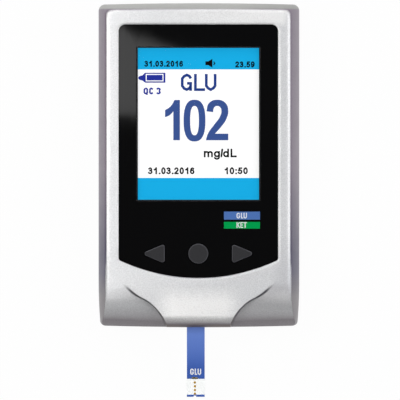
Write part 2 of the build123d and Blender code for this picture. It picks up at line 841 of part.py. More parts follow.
with BuildPart() as display_glass:
    with BuildSketch(Plane.XY.offset(backlight_top)):
        with Locations((0, glass_centre)):
            Rectangle(glass_width, glass_length)
    extrude(amount=glass_thickness)
    chamfer(edges().filter_by(Axis.Z), glass_chamfer)
save(display_glass, "display_glass")

with BuildPart() as backlight:
    with BuildSketch(Plane.XY.offset(tray_inside)):
        with Locations((0, glass_centre)):
            RectangleRounded(glass_width, glass_length, backlight_corner)
    extrude(amount=backlight_thickness)
save(backlight, "backlight")

with BuildPart() as display_tray:
    with BuildSketch(Plane.XY.offset(tray_bottom)):
        with Locations((0, glass_centre)):
            RectangleRounded(tray_width, tray_length, display_corner)
    extrude(amount=glass_top - tray_bottom)
    with BuildSketch(Plane.XY.offset(tray_inside)):
        with Locations((0, glass_centre)):
            Rectangle(tray_width - 2 * tray_wall, tray_length - 2 * tray_wall)
    extrude(amount=front_height, mode=Mode.SUBTRACT)
    # notch for the flex in the lower wall
    with BuildSketch(Plane.XY.offset(tray_inside)):
        with Locations((0, glass_centre - tray_length / 2)):
            Rectangle(flex_width + 2 * flex_side_gap, 4 * tray_wall)
    extrude(amount=front_height, mode=Mode.SUBTRACT)
    # feet on the board
    with BuildSketch(Plane.XY.offset(board_top)):
        with Locations((0, glass_centre)):
            with GridLocations(tray_width - tray_foot, tray_length - tray_foot, 2, 2):
                RectangleRounded(tray_foot, tray_foot, tray_foot_corner)
    extrude(amount=tray_bottom - board_top)
save(display_tray, "display_tray")

glass_low = glass_centre - glass_length / 2
flex_level = backlight_top + glass_thickness / 3
flex_bottom = board_top + flex_rise
socket_low = key_row + switch_size / 2 + flex_socket_clearance
socket_high = socket_low + flex_socket_length
flex_drop = (glass_low + socket_high) / 2
flex_end = socket_high - flex_insertion / 2
with BuildPart() as display_flex:
    with BuildSketch(Plane.YZ) as flex_profile:
        with BuildLine() as flex_path:
            FilletPolyline(
                (glass_low, flex_level),
                (flex_drop, flex_level),
                (flex_drop, flex_bottom),
                (flex_end, flex_bottom),
                radius=flex_bend,
            )
        trace(flex_path.line, line_width=flex_thickness)
    extrude(amount=flex_width / 2, both=True)
    # end cut square, clear of the glass
    with BuildSketch(Plane.XY.offset(board_top)):
        with Locations((0, glass_low + flex_bend)):
            Rectangle(2 * flex_width, 2 * flex_bend)
    extrude(amount=front_height, mode=Mode.SUBTRACT)
save(display_flex, "display_flex")

with BuildPart() as flex_connector:
    with BuildSketch(Plane.XY.offset(board_top)):
        with Locations((0, (socket_low + socket_high) / 2)):
            Rectangle(flex_socket_width, flex_socket_length)
    extrude(amount=flex_socket_height)
    with BuildSketch(Plane.YZ):
        with Locations((socket_high, flex_bottom)):
            Rectangle(2 * flex_insertion, flex_thickness + 2 * flex_slot_gap)
    extrude(amount=flex_width / 2 + 2 * flex_slot_gap, both=True, mode=Mode.SUBTRACT)
save(flex_connector, "flex_connector")

# ======== Keys ========
key_names = {-1: "left", 0: "centre", 1: "right"}
for direction, word in key_names.items():
    key_x = direction * key_pitch
    key_top = crown_height - crown_sag(key_x) - panel_sink + key_stand
    with BuildPart() as key:
        with BuildSketch(Plane.XY.offset(flange_top - key_flange)):
            key_outline(direction)
        extrude(amount=key_top - flange_top + key_flange)
        fillet(faces().sort_by(Axis.Z)[-1].edges(), key_edge)
        with BuildSketch(Plane.XY.offset(flange_top - key_flange)):
            key_outline(direction)
            offset(amount=key_flange)
        extrude(amount=key_flange)
        with BuildSketch(Plane.XY.offset(switch_top + plunger_height)):
            with Locations((key_x, key_row)):
                Circle(stem_diameter / 2)
        extrude(amount=flange_top - switch_top - plunger_height - key_flange / 2)
    save(key, f"{word}_key")

    with BuildPart() as key_switch:
        with BuildSketch(Plane.XY.offset(board_top)):
            with Locations((key_x, key_row)):
                Rectangle(switch_size, switch_size)
        extrude(amount=switch_height)
        chamfer(edges().filter_by(Axis.Z), switch_chamfer)
        with BuildSketch(Plane.XY.offset(switch_top - plunger_depth - key_travel)):
            with Locations((key_x, key_row)):
                Circle(plunger_diameter / 2 + plunger_gap)
        extrude(amount=switch_height, mode=Mode.SUBTRACT)
    save(key_switch, f"{word}_switch")

    with BuildPart() as plunger:
        with BuildSketch(Plane.XY.offset(switch_top + plunger_height)):
            with Locations((key_x, key_row)):
                Circle(plunger_diameter / 2)
        extrude(amount=-plunger_height - plunger_depth)
    save(plunger, f"{word}_plunger")

with BuildPart() as key_guide:
    with BuildSketch(Plane.XY.offset(guide_bottom)):
        with Locations((0, key_row)):
            RectangleRounded(guide_width, guide_length, guide_corner)
            with GridLocations(key_pitch, 0, 3, 1):
                Circle(stem_diameter / 2 + key_gap, mode=Mode.SUBTRACT)
        with Locations(*guide_screw_places):
            Circle(small_screw_shank / 2 + hole_clearance, mode=Mode.SUBTRACT)
    extrude(amount=guide_thickness)
save(key_guide, "key_guide")

# ======== Main board and its parts ========
with BuildPart() as main_board:
    with BuildSketch(Plane.XY.offset(board_underside)):
        with Locations((0, board_centre)):
            RectangleRounded(board_width, board_length, board_corner)
        with Locations(*case_screw_places):
            Circle(boss_diameter / 2 + boss_clearance, mode=Mode.SUBTRACT)
        with Locations(*board_screw_places):
            Circle(small_screw_shank / 2 + hole_clearance, mode=Mode.SUBTRACT)
    extrude(amount=board_thickness)
save(main_board, "main_board")


def chip(place, size):
    """Leaded chip under the board, with as many leads along its two long sides as fit."""
    width, length = size
    lead_count = int((length - lead_width - 2 * lead_end_gap) / lead_pitch) + 1
    centre = board_underside - chip_stand - chip_height / 2
    with BuildPart() as package:
        with Locations((*place, centre)):
            Box(width, length, chip_height)
        chamfer(edges().filter_by(Axis.Z), chip_chamfer)
        with Locations((*place, board_underside - chip_height / 2)):
            with GridLocations(width + lead_length, lead_pitch, 2, lead_count):
                Box(lead_length, lead_width, chip_height)
    return package


save(chip(controller_place, (controller_size, controller_size)), "microcontroller")
save(chip(memory_place, memory_size), "memory_chip")
save(chip(analog_place, (analog_size, analog_size)), "analog_chip")

with BuildPart() as crystal:
    with BuildSketch(Plane.XY.offset(board_underside)):
        with Locations(crystal_place):
            RectangleRounded(*crystal_size, crystal_corner)
    extrude(amount=-crystal_height)
    fillet(faces().sort_by(Axis.Z)[0].edges(), crystal_edge)
save(crystal, "crystal")

with BuildPart() as capacitors:
    with Locations((*capacitor_place, board_underside - capacitor_height / 2)):
        with GridLocations(*capacitor_pitch, capacitor_columns, capacitor_rows):
            Box(*capacitor_size, capacitor_height)
    chamfer(edges().filter_by(Axis.Z), capacitor_chamfer)
save(capacitors, "capacitors")

with BuildPart() as buzzer:
    with BuildSketch(Plane.XY.offset(board_underside)):
        with Locations(buzzer_place):
            Circle(buzzer_diameter / 2)
    extrude(amount=-buzzer_height)
    chamfer(faces().sort_by(Axis.Z)[0].edges(), buzzer_chamfer)
    with BuildSketch(Plane.XY.offset(board_underside - buzzer_height)):
        with Locations(buzzer_place):
            Circle(buzzer_port / 2)
    extrude(amount=buzzer_height / 2, mode=Mode.SUBTRACT)
save(buzzer, "buzzer")

# ======== Test strip ========
with BuildPart() as strip_base_layer:
    with BuildSketch(Plane.XY.offset(strip_height)):
        with Locations((strip_offset, (strip_inner + strip_outer) / 2)):
            Rectangle(strip_width, strip_length)
        with Locations((strip_offset + notch_offset, strip_outer)):
            Circle(notch_radius, mode=Mode.SUBTRACT)
    extrude(amount=strip_base)
save(strip_base_layer, "strip_base")

with BuildPart() as strip_film_layer:
    with BuildSketch(Plane.XY.offset(strip_height + strip_base)):
        film_low = strip_outer + film_end
        film_high = strip_inner - film_start
        with Locations((strip_offset, (film_low + film_high) / 2)):
            Rectangle(strip_width, film_high - film_low)
    extrude(amount=strip_film)
save(strip_film_layer, "strip_film")

with BuildPart() as strip_tip_layer:
    with BuildSketch(Plane.XY.offset(strip_height + strip_base)):
        with Locations((strip_offset, strip_outer + tip_film / 2)):
            Rectangle(strip_width, tip_film)
        with Locations((strip_offset + notch_offset, strip_outer)):
            Circle(notch_radius, mode=Mode.SUBTRACT)
    extrude(amount=strip_film)
save(strip_tip_layer, "strip_tip_film")

# ======== Strip connector ========
connector_low = bottom_end + connector_start
connector_high = connector_low + connector_length
channel_low = strip_height - channel_gap
channel_high = strip_top + channel_gap
contact_rows = [
    strip_offset + contact_pitch * (n - (contact_count - 1) / 2) for n in range(contact_count)
]
with BuildPart() as strip_connector:
    with BuildSketch(Plane.XY.offset(strip_height - connector_under)):
        with Locations((strip_offset, (connector_low + connector_high) / 2)):
            Rectangle(connector_width, connector_length)
    extrude(amount=board_underside - strip_height + connector_under)
    with BuildSketch(Plane.XZ.offset(-connector_low)):
        with Locations((strip_offset, (channel_low + channel_high) / 2)):
            Rectangle(strip_width + 2 * channel_gap, channel_high - channel_low)
        with Locations((strip_offset, channel_high - 2 * connector_under)):
            Rectangle(blade_thickness + 2 * blade_gap, 4 * connector_under)
    extrude(amount=-2 * connector_length, mode=Mode.SUBTRACT)
    with BuildSketch(Plane.XY.offset(channel_high)):
        with Locations(*[(x, connector_high) for x in contact_rows]):
            Rectangle(
                contact_width + 2 * contact_slot_gap, 2 * (connector_length - contact_slot_end)
            )
    extrude(amount=board_underside, mode=Mode.SUBTRACT)
save(strip_connector, "strip_connector")

contact_point = strip_top + contact_gap + contact_thickness / 2
contact_root = board_underside - contact_thickness / 2
with BuildPart() as strip_contacts:
    for x in contact_rows:
        with BuildSketch(Plane.YZ.offset(x)):
            with BuildLine() as spring_path:
                FilletPolyline(
                    (connector_high + contact_tail, contact_root),
                    (connector_high - contact_root_length, contact_root),
                    (connector_low + contact_touch, contact_point),
                    (connector_low + contact_lead, contact_point + contact_lift),
                    radius=contact_bend,
                )
            trace(spring_path.line, line_width=contact_thickness)
        extrude(amount=contact_width / 2, both=True)
save(strip_contacts, "strip_contacts")

# ======== Strip ejector ========
with BuildPart() as ejector_thumb:
    with BuildSketch(Plane.XY.offset(thumb_sink)):
        with Locations((strip_offset, thumb_rest)):
            RectangleRounded(thumb_width, thumb_length, thumb_corner)
    extrude(amount=thumb_thickness)
    with BuildSketch(Plane.XY.offset(thumb_sink)):
        with Locations((strip_offset, thumb_rest)):
            with GridLocations(0, ridge_pitch, 1, ridge_count - 1):
                Rectangle(2 * thumb_width, ridge_pitch / 2)
    extrude(amount=ridge_depth, mode=Mode.SUBTRACT)
    with BuildSketch(Plane.XY.offset(thumb_sink + thumb_thickness / 2)):
        with Locations((strip_offset, thumb_rest)):
            Rectangle(neck_width, neck_length)
    extrude(amount=carriage_bottom - thumb_sink - thumb_thickness / 2)
save(ejector_thumb, "ejector_thumb")

blade_tip_end = strip_inner + blade_start
blade_tip_low = strip_height - blade_tip_under
blade_top = strip_top - blade_start
with BuildPart() as ejector_carriage:
    with BuildSketch(Plane.XY.offset(carriage_bottom)):
        with Locations((strip_offset, (carriage_front + carriage_back) / 2)):
            RectangleRounded(carriage_width, carriage_length, carriage_corner)
    extrude(amount=carriage_thickness)
    with BuildSketch(Plane.YZ.offset(strip_offset)):
        with BuildLine():
            Polyline(
                (blade_tip_end, blade_top),
                (blade_tip_end, blade_tip_low),
                (blade_tip_end + blade_tip, blade_tip_low),
                (blade_tip_end + blade_tip + blade_lean, carriage_bottom),
                (carriage_back - blade_heel, carriage_bottom),
                (carriage_back - blade_heel, carriage_top),
                (blade_tip_end + blade_root, blade_top),
                close=True,
            )
        make_face()
    extrude(amount=blade_thickness / 2, both=True)
    # lug that the spring pushes on
    with BuildSketch(Plane.XY.offset(carriage_bottom)):
        with Locations((spring_x, carriage_front + seat_thickness / 2)):
            Rectangle(seat_width, seat_thickness)
    extrude(amount=spring_axis_height + seat_width / 2 - carriage_bottom)
save(ejector_carriage, "ejector_carriage")

coil_length = carriage_front - spring_foot - spring_wire - 2 * spring_slack
with BuildPart() as ejector_spring:
    with BuildLine() as coil:
        Helix(
            pitch=coil_length / spring_turns,
            height=coil_length,
            radius=spring_radius,
            center=(spring_x, spring_foot + spring_wire / 2 + spring_slack, spring_axis_height),
            direction=(0, 1, 0),
        )
    with BuildSketch(Plane(origin=coil.line @ 0, z_dir=coil.line % 0)):
        RegularPolygon(spring_wire / 2, 6)
    sweep(is_frenet=True)
save(ejector_spring, "ejector_spring")

# ======== Batteries ========
for word, side in (("left", -1), ("right", 1)):
    flat_end, nub_end = (cell_low, cell_high) if side < 0 else (cell_high, cell_low)
    heading = 1 if side < 0 else -1
    with BuildPart() as cell:
        with BuildSketch(Plane.XZ.offset(-flat_end)):
            with Locations((side * cell_spacing / 2, cell_height)):
                Circle(cell_diameter / 2)
        extrude(amount=-heading * (cell_length - cell_nub_length))
        fillet(edges().filter_by(GeomType.CIRCLE), cell_edge)
        with BuildSketch(Plane.XZ.offset(-flat_end)):
            with Locations((side * cell_spacing / 2, cell_height)):
                Circle(cell_nub_diameter / 2)
        extrude(amount=-heading * cell_length)
    save(cell, f"battery_{word}")


def contact_plate(side, end):
    """Plate at one end of a cell, with the tab that runs up to the board."""
    face = bay_bottom if end < 0 else bay_top
    low = cell_height - plate_width / 2
    with BuildSketch(Plane.XZ.offset(-face)) as plate:
        with Locations((side * cell_spacing / 2, (low + bay_roof - plate_gap) / 2)):
            Rectangle(plate_width, bay_roof - plate_gap - low)
        with Locations((side * cell_spacing / 2, (cell_height + board_underside) / 2)):
            Rectangle(tab_width, board_underside - cell_height)
    extrude(plate.sketch, amount=end * plate_thickness)


def contact_button(side, end):
    """Raised boss of a plate that meets the nub of a cell."""
    face = bay_bottom if end < 0 else bay_top
    with BuildSketch(Plane.XZ.offset(-face)) as boss:
        with Locations((side * cell_spacing / 2, cell_height)):
            Circle(button_diameter / 2)
    extrude(boss.sketch, amount=end * (contact_space - button_gap))


def contact_spring(side, end):
    """Coned spring of a plate that presses on the flat end of a cell."""
    face = (bay_bottom if end < 0 else bay_top) - end * plate_thickness
    rise = contact_space - plate_thickness - cell_spring_wire / 2 - cell_spring_gap
    with BuildLine() as cone:
        Helix(
            pitch=rise / cell_spring_turns,
            height=rise,
            radius=cell_spring_radius,
            center=(side * cell_spacing / 2, face, cell_height),
            direction=(0, -end, 0),
            cone_angle=-cell_spring_cone,
        )
    with BuildSketch(Plane(origin=cone.line @ 0, z_dir=cone.line % 0)) as wire:
        RegularPolygon(cell_spring_wire / 2, 6)
    sweep(wire.sketch, path=cone.line, is_frenet=True)


with BuildPart() as negative_contact:
    contact_plate(-1, -1)
    contact_spring(-1, -1)
save(negative_contact, "negative_contact")

with BuildPart() as positive_contact:
    contact_plate(1, -1)
    contact_button(1, -1)
save(positive_contact, "positive_contact")

with BuildPart() as link_contact:
    for side in (-1, 1):
        contact_plate(side, 1)
    with BuildSketch(Plane.XZ.offset(-bay_top)):
        with Locations((0, cell_height)):
            Rectangle(cell_spacing, plate_width / 2)
    extrude(amount=plate_thickness)
    contact_button(-1, 1)
    contact_spring(1, 1)
save(link_contact, "link_contact")


# ======== Screws ========
def screws(places, base, direction, shank, head, head_height, length):
    """A like screw at each place, with its head outwards from base and a cross recess in the head."""
    middle = (Align.CENTER, Align.CENTER)
    away = Align.MAX if direction > 0 else Align.MIN
    along = Align.MIN if direction > 0 else Align.MAX
    with BuildPart() as group:
        with Locations(*[(x, y, base) for x, y in places]):
            Cylinder(head / 2, head_height, align=(*middle, away))
            Cylinder(shank / 2, length, align=(*middle, along))
        recess_level = base - direction * head_height
        with Locations(*[(x, y, recess_level) for x, y in places]):
            for across, over in ((drive_length, drive_width), (drive_width, drive_length)):
                Box(
                    head * across,
                    head * over,
                    drive_recess,
                    align=(*middle, along),
                    mode=Mode.SUBTRACT,
                )
    return group


case_screws = screws(
    case_screw_places,
    case_screw_sink + case_screw_head_height,
    1,
    case_screw_shank,
    case_screw_head,
    case_screw_head_height,
    boss_foot + case_screw_grip - case_screw_sink - case_screw_head_height,
)
save(case_screws, "case_screws")
board_screws = screws(
    board_screw_places,
    board_underside,
    1,
    small_screw_shank,
    small_screw_head,
    small_screw_head_height,
    board_thickness + small_screw_grip - small_pilot_spare,
)
save(board_screws, "board_screws")
guide_screws = screws(
    guide_screw_places,
    guide_bottom,
    1,
    small_screw_shank,
    small_screw_head,
    small_screw_head_height,
    guide_thickness + shelf_bottom - guide_top - 3 * boss_gap,
)
save(guide_screws, "guide_screws")
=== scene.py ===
import math

import bpy
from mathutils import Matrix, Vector


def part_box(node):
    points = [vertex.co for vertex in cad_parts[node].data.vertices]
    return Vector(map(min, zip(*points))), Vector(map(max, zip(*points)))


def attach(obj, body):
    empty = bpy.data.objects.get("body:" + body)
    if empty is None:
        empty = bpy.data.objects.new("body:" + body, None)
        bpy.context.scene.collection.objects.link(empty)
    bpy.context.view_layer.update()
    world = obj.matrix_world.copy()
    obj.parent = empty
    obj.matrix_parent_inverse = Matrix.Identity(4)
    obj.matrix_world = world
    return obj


bl_info = {
    "name": "Glucose Meter Finishes",
    "version": (1, 0, 0),
    "blender": (4, 5, 0),
    "location": "View3D > Sidebar > Meter",
    "description": "Dresses the parts of a blood glucose meter with finishes, display graphics and prints",
    "category": "Object",
}

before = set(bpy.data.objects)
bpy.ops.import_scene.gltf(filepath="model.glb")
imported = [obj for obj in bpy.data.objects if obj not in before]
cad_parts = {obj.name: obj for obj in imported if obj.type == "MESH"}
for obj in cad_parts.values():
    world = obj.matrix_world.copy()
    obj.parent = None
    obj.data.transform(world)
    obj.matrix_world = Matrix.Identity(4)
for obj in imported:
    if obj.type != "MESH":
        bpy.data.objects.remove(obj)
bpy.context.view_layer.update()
MM = 0.001


def tone(red, green, blue):
    """A colour on the usual 0 to 255 scale as the linear values that shaders use."""
    parts = [channel / 255 for channel in (red, green, blue)]
    return tuple(c / 12.92 if c <= 0.04045 else ((c + 0.055) / 1.055) ** 2.4 for c in parts)


def colour_setting(name, description, red, green, blue):
    return bpy.props.FloatVectorProperty(
        name=name, description=description, subtype="COLOR", size=3, min=0, max=1,
        default=tone(red, green, blue),
    )


def length_setting(name, description, millimetres):
    return bpy.props.FloatProperty(
        name=name, description=description, unit="LENGTH", min=0, precision=5, default=millimetres * MM
    )


class MeterColours(bpy.types.PropertyGroup):
    paint: colour_setting("Paint", "Silver paint of the front cover", 226, 227, 229)
    # The four tones below are painted shade: darker paint where the front cover slants away from the front,
    # at the top end, on the sides, low on the sides and at the foot.
    top_painted_shade: colour_setting("Paint at the top", "Slanting silver paint at the top end", 190, 190, 187)
    painted_shade: colour_setting("Paint on the sides", "Slanting silver paint along the sides", 148, 137, 150)
    low_painted_shade: colour_setting("Paint low on the sides", "Slanting silver paint low on the sides", 95, 91, 113)
    foot_painted_shade: colour_setting("Paint at the foot", "Slanting silver paint at the foot", 140, 135, 139)
    rear: colour_setting("Rear", "Grey plastic of the rear cover", 150, 147, 154)
    lens: colour_setting("Lens", "Black of the lens panel", 9, 9, 10)
    key: colour_setting("Keys", "Dark grey of the three keys", 43, 43, 46)
    field: colour_setting("Display ground", "Middle field of the display", 255, 255, 255)
    band: colour_setting("Display bands", "Upper and lower band of the display", 19, 171, 227)
    reading: colour_setting("Reading", "Large digits", 57, 82, 143)
    heading: colour_setting("Heading", "Name of the test above the digits", 31, 60, 133)
    control: colour_setting("Control", "Bottle and its label", 35, 48, 150)
    ink: colour_setting("Ink", "Dates, times and the unit", 4, 4, 5)
    glucose_tag: colour_setting("Glucose tag", "Blue tag on the lens panel", 82, 120, 187)
    ketone_tag: colour_setting("Ketone tag", "Green tag on the lens panel", 0, 164, 80)
    strip: colour_setting("Strip film", "Blue film of the test strip", 60, 97, 182)
    strip_base: colour_setting("Strip base", "White base of the test strip", 253, 255, 254)
    gold: colour_setting("Gold", "Gold plating", 190, 143, 3)


class MeterSizes(bpy.types.PropertyGroup):
    band_top: length_setting("Upper band", "Height of the upper band of the display", 6.70)
    band_bottom: length_setting("Lower band", "Height of the lower band of the display", 6.80)
    field_width: length_setting("Field width", "Width of the lit field", 37.5)
    field_height: length_setting("Field height", "Height of the lit field", 46.95)
    layer: length_setting("Layer", "Thickness of one layer of the display's picture", 0.03)
    print_layer: length_setting("Print", "Thickness of a printed layer", 0.02)
    span: length_setting("Picture", "Width that the camera takes in", 123.6)
    lens: bpy.props.FloatProperty(
        name="Focal length", description="Of the camera", unit="CAMERA", default=1200.0, min=20
    )
    tilt: bpy.props.FloatProperty(
        name="Tilt", description="How far the camera stands to the right", unit="ROTATION",
        default=math.radians(0.9),
    )
    rise: bpy.props.FloatProperty(
        name="Rise", description="How far the camera stands towards the top end", unit="ROTATION",
        default=math.radians(0.65),
    )


# ---- Selecting and shaping ----

def deselect():
    for thing in bpy.context.selected_objects:
        thing.select_set(False)


def select_only(thing):
    deselect()
    thing.select_set(True)
    bpy.context.view_layer.objects.active = thing


def add(name, operator, place=(0, 0, 0), **options):
    """The object that one of Blender's own operators adds."""
    deselect()
    operator(location=place, **options)
    made = bpy.context.object
    made.name = made.data.name = name
    return made


def apply_modifiers(thing):
    select_only(thing)
    for modifier in list(thing.modifiers):
        bpy.ops.object.modifier_apply(modifier=modifier.name)


class Editing:
    """Edit mode on one piece, with all of it selected at the start."""

    def __init__(self, thing):
        self.thing = thing

    def __enter__(self):
        select_only(self.thing)
        bpy.ops.object.mode_set(mode="EDIT")
        bpy.ops.mesh.select_all(action="SELECT")

    def __exit__(self, *error):
        bpy.ops.object.mode_set(mode="OBJECT")


def face_outwards():
    """Turns all faces of the piece in edit mode outwards."""
    bpy.ops.mesh.select_all(action="SELECT")
    bpy.ops.mesh.normals_make_consistent(inside=False)


def clean(thing):
    """Merges doubles and turns all faces outwards."""
    gap = 1e-7
    with Editing(thing):
        bpy.ops.mesh.remove_doubles(threshold=gap)
        face_outwards()


def plate(name, left, right, low, high, bottom, thickness, corner=0.0):
    """A flat plate from its outline and the height of its underside."""
    made = add(name, bpy.ops.mesh.primitive_plane_add, size=1)
    with Editing(made):
        bpy.ops.transform.resize(value=(right - left, high - low, 1))
        bpy.ops.transform.translate(value=((left + right) / 2, (low + high) / 2, bottom))
        if corner:
            bpy.ops.mesh.bevel(offset=corner, segments=6, affect="VERTICES")
            bpy.ops.mesh.select_all(action="SELECT")
        bpy.ops.mesh.extrude_region_move(TRANSFORM_OT_translate={"value": (0, 0, thickness)})
        face_outwards()
    return made


def lay_flat(thing, name, bottom, thickness):
    """Turns a flat curve object into a mesh of the given thickness on the given height."""
    thing.data.extrude = thickness / 2
    thing.location = (0, 0, 0)
    select_only(thing)
    bpy.ops.object.convert(target="MESH")
    made = bpy.context.object
    made.name = made.data.name = name
    clean(made)
    with Editing(made):
        bpy.ops.transform.translate(value=(0, 0, bottom + thickness / 2))
    return made


def strokes(name, lines, thickness, bottom, depth):
    """Lines of one thickness, each a chain of points, with mitred corners."""
    parts = []
    for line in lines:
        points = [(x, y, bottom) for x, y in line]
        mesh = bpy.data.meshes.new(name)
        mesh.from_pydata(points, [(k, k + 1) for k in range(len(points) - 1)], [])
        part = bpy.data.objects.new(name, mesh)
        bpy.context.scene.collection.objects.link(part)
        with Editing(part):
            bpy.ops.mesh.extrude_edges_move(TRANSFORM_OT_translate={"value": (0, 0, depth)})
        solid = part.modifiers.new("Width", "SOLIDIFY")
        solid.thickness = thickness
        solid.offset = 0
        solid.use_even_offset = True
        apply_modifiers(part)
        clean(part)
        parts.append(part)
    return join(name, parts)


def arc(across, middle, wide, tall, start, end, steps=8):
    """Points along part of an oval, from one angle in degrees to another."""
    turns = [math.radians(start + (end - start) * n / steps) for n in range(steps + 1)]
    return [(across + wide * math.cos(turn), middle + tall * math.sin(turn)) for turn in turns]


SIX = [arc(0.5, 0.31, 0.5, 0.31, 180, 540, 16), arc(0.56, 0.46, 0.56, 0.54, 48, 180) + [(0, 0.31)]]
DOT = [(0, 0), (1, 0)]
# Drawn signs: space before, width and advance, all as shares of the height, then centre lines in a box
# from 0 to 1.
SIGNS = {
    "0": (0.06, 0.65, 0.776, [arc(0.5, 0.5, 0.5, 0.5, 90, 450, 20)]),
    "1": (0.12, 0.47, 0.776, [[(0, 0.70), (0.5, 0.80), (0.92, 0.98)], [(1, 0), (1, 1)]]),
    "2": (0.05, 0.65, 0.776, [arc(0.5, 0.71, 0.48, 0.29, 165, -30) + [(0.06, 0.06)], [(0.04, 0), (1, 0)]]),
    "3": (0.06, 0.64, 0.776, [arc(0.45, 0.76, 0.45, 0.24, 150, -90), arc(0.45, 0.28, 0.55, 0.28, 90, -150)]),
    "5": (0.06, 0.66, 0.776, [[(0.92, 1), (0.25, 1), (0.12, 0.52)], arc(0.45, 0.32, 0.55, 0.32, 130, -150)]),
    "6": (0.06, 0.65, 0.776, SIX),
    "9": (0.06, 0.65, 0.776, [[(1 - x, 1 - y) for x, y in line] for line in SIX]),
    ".": (0.09, 0.24, 0.388, [DOT]),
    ":": (0.09, 0.24, 0.388, [DOT, [(x, 0.66) for x, _ in DOT]]),
    "m": (0, 1.045, 1.16, [
        [(0, 0), (0, 0.66)],
        arc(0.25, 0.42, 0.25, 0.24, 180, 0) + [(0.5, 0)],
        arc(0.75, 0.42, 0.25, 0.24, 180, 0) + [(1, 0)],
    ]),
    "g": (0, 0.705, 0.775, [
        arc(0.5, 0.33, 0.5, 0.33, 0, 360, 16), [(1, 0.66)] + arc(0.5, -0.12, 0.5, 0.24, 360, 205),
    ]),
    "/": (0, 0.295, 0.285, [[(0, 0), (1, 1)]]),
    "d": (0, 0.69, 0.875, [arc(0.5, 0.33, 0.5, 0.33, 0, 360, 16), [(1, 0), (1, 1)]]),
    "wide L": (0, 0.705, 0.8, [[(0, 1), (0, 0), (1, 0)]]),
    "G": (0, 0.61, 0.75, [
        arc(0.5, 0.66, 0.5, 0.34, 30, 180) + arc(0.5, 0.32, 0.5, 0.32, 180, 360) + [(1, 0.42), (0.75, 0.42)],
    ]),
    "L": (0, 0.40, 0.45, [[(0, 1), (0, 0), (1, 0)]]),
    "U": (0, 0.58, 0.70, [[(0, 1)] + arc(0.5, 0.32, 0.5, 0.32, 180, 360) + [(1, 1)]]),
    "K": (0, 0.59, 0.66, [[(0, 0), (0, 1)], [(0.92, 1), (0.12, 0.45)], [(0.32, 0.58), (0.95, 0)]]),
    "E": (0, 0.48, 0.50, [[(1, 1), (0, 1), (0, 0), (1, 0)], [(0, 0.5), (0.85, 0.5)]]),
    "T": (0, 0.62, 0.70, [[(0, 1), (1, 1)], [(0.5, 0.9), (0.5, 0)]]),
}


def lettering(name, signs, left, base, width, height, bottom, depth, weight):
    """Drawn signs that fill the given width and height, from their left end and their base line."""
    places, pen = [], 0.0
    for sign in signs:
        before, wide, advance, lines = SIGNS[sign]
        places.append((pen + before, wide, lines))
        pen += advance
    start, end = places[0][0], places[-1][0] + places[-1][1]
    scale = width / (end - start)
    chains = []
    for place, wide, lines in places:
        corner = left + (place - start) * scale + weight / 2
        across, up = wide * scale - weight, height - weight
        for line in lines:
            points = [Vector((corner + x * across, base + weight / 2 + y * up)) for x, y in line]
            # The strokes run on by half their weight, so that their ends fill the sign's box.
            points[0] += (points[0] - points[1]).normalized() * weight / 2
            points[-1] += (points[-1] - points[-2]).normalized() * weight / 2
            chains.append([tuple(point) for point in points])
    return strokes(name, chains, weight, bottom, depth)


def join(name, parts):
    """Makes one piece of several."""
    deselect()
    for part in parts:
        part.select_set(True)
    bpy.context.view_layer.objects.active = parts[0]
    if len(parts) > 1:
        bpy.ops.object.join()
    made = bpy.context.object
    made.name = made.data.name = name
    return made


def flat_outline(name, loops, bottom, thickness):
    """A flat shape from closed loops of points, inner loops being holes. A point is (x, y) for a corner and
    (x, y, "AUTO") where the outline runs on smoothly."""
    curve = bpy.data.curves.new(name, "CURVE")
    curve.dimensions = "2D"
    curve.fill_mode = "BOTH"
    curve.resolution_u = 8
    for loop in loops:
        spline = curve.splines.new("BEZIER")
        spline.bezier_points.add(len(loop) - 1)
        for point, (x, y, *kind) in zip(spline.bezier_points, loop):
            point.co = (x, y, 0)
            point.handle_left_type = point.handle_right_type = kind[0] if kind else "VECTOR"
        spline.use_cyclic_u = True
    outline = bpy.data.objects.new(name, curve)
    bpy.context.scene.collection.objects.link(outline)
    return lay_flat(outline, name, bottom, thickness)


# ---- Materials ----

def feed(socket, value):
    """Links another node's output to a socket, or gives the socket a plain value."""
    if isinstance(value, bpy.types.NodeSocket):
        socket.id_data.links.new(value, socket)
    else:
        socket.default_value = (*value, 1)[:4] if socket.type == "RGBA" else value


def give(node, inputs):
    """Gives a node's inputs, by name or number, plain values or other nodes' outputs."""
    for name, value in inputs.items():
        feed(node.inputs[name], value)


def output_of(tree, kind, inputs=None, output=0, **choices):
    """An output, by name or number, of a new node with the given inputs and choices."""
    made = tree.nodes.new("ShaderNode" + kind)
    for name, choice in choices.items():
        setattr(made, name, choice)
    give(made, inputs or {})
    return made.outputs[output]


def new_material(name, colour, roughness, metallic=0.0, shine=0.5):
    """A material, its node tree and its shader, whose plain values are set on the shader itself."""
    material = bpy.data.materials.new(name)
    material.use_nodes = True
    shader = material.node_tree.nodes["Principled BSDF"]
    give(shader, {
        "Base Color": colour, "Roughness": roughness, "Metallic": metallic, "Specular IOR Level": shine,
    })
    return material, material.node_tree, shader


def bare_material(name):
    """A material whose surface is still to be given, and its node tree."""
    material = bpy.data.materials.new(name)
    material.use_nodes = True
    tree = material.node_tree
    tree.nodes.remove(tree.nodes["Principled BSDF"])
    return material, tree


def give_surface(tree, shader):
    give(tree.nodes["Material Output"], {"Surface": shader})


def mixed_shaders(tree, share, first, second):
    """A shader from first to second."""
    return output_of(tree, "MixShader", {0: share, 1: first, 2: second})


def object_place(tree):
    """The place on the piece, in metres."""
    return output_of(tree, "TexCoord", output="Object")


def object_axes(tree):
    """The place on the piece along X, Y and Z, in metres."""
    return output_of(tree, "SeparateXYZ", {0: object_place(tree)}).node.outputs


def noise(tree, grain, detail=2.0):
    """Noise with grains of the given size, around 0.5."""
    return output_of(tree, "TexNoise", {"Scale": 1 / grain, "Detail": detail, "Vector": object_place(tree)})


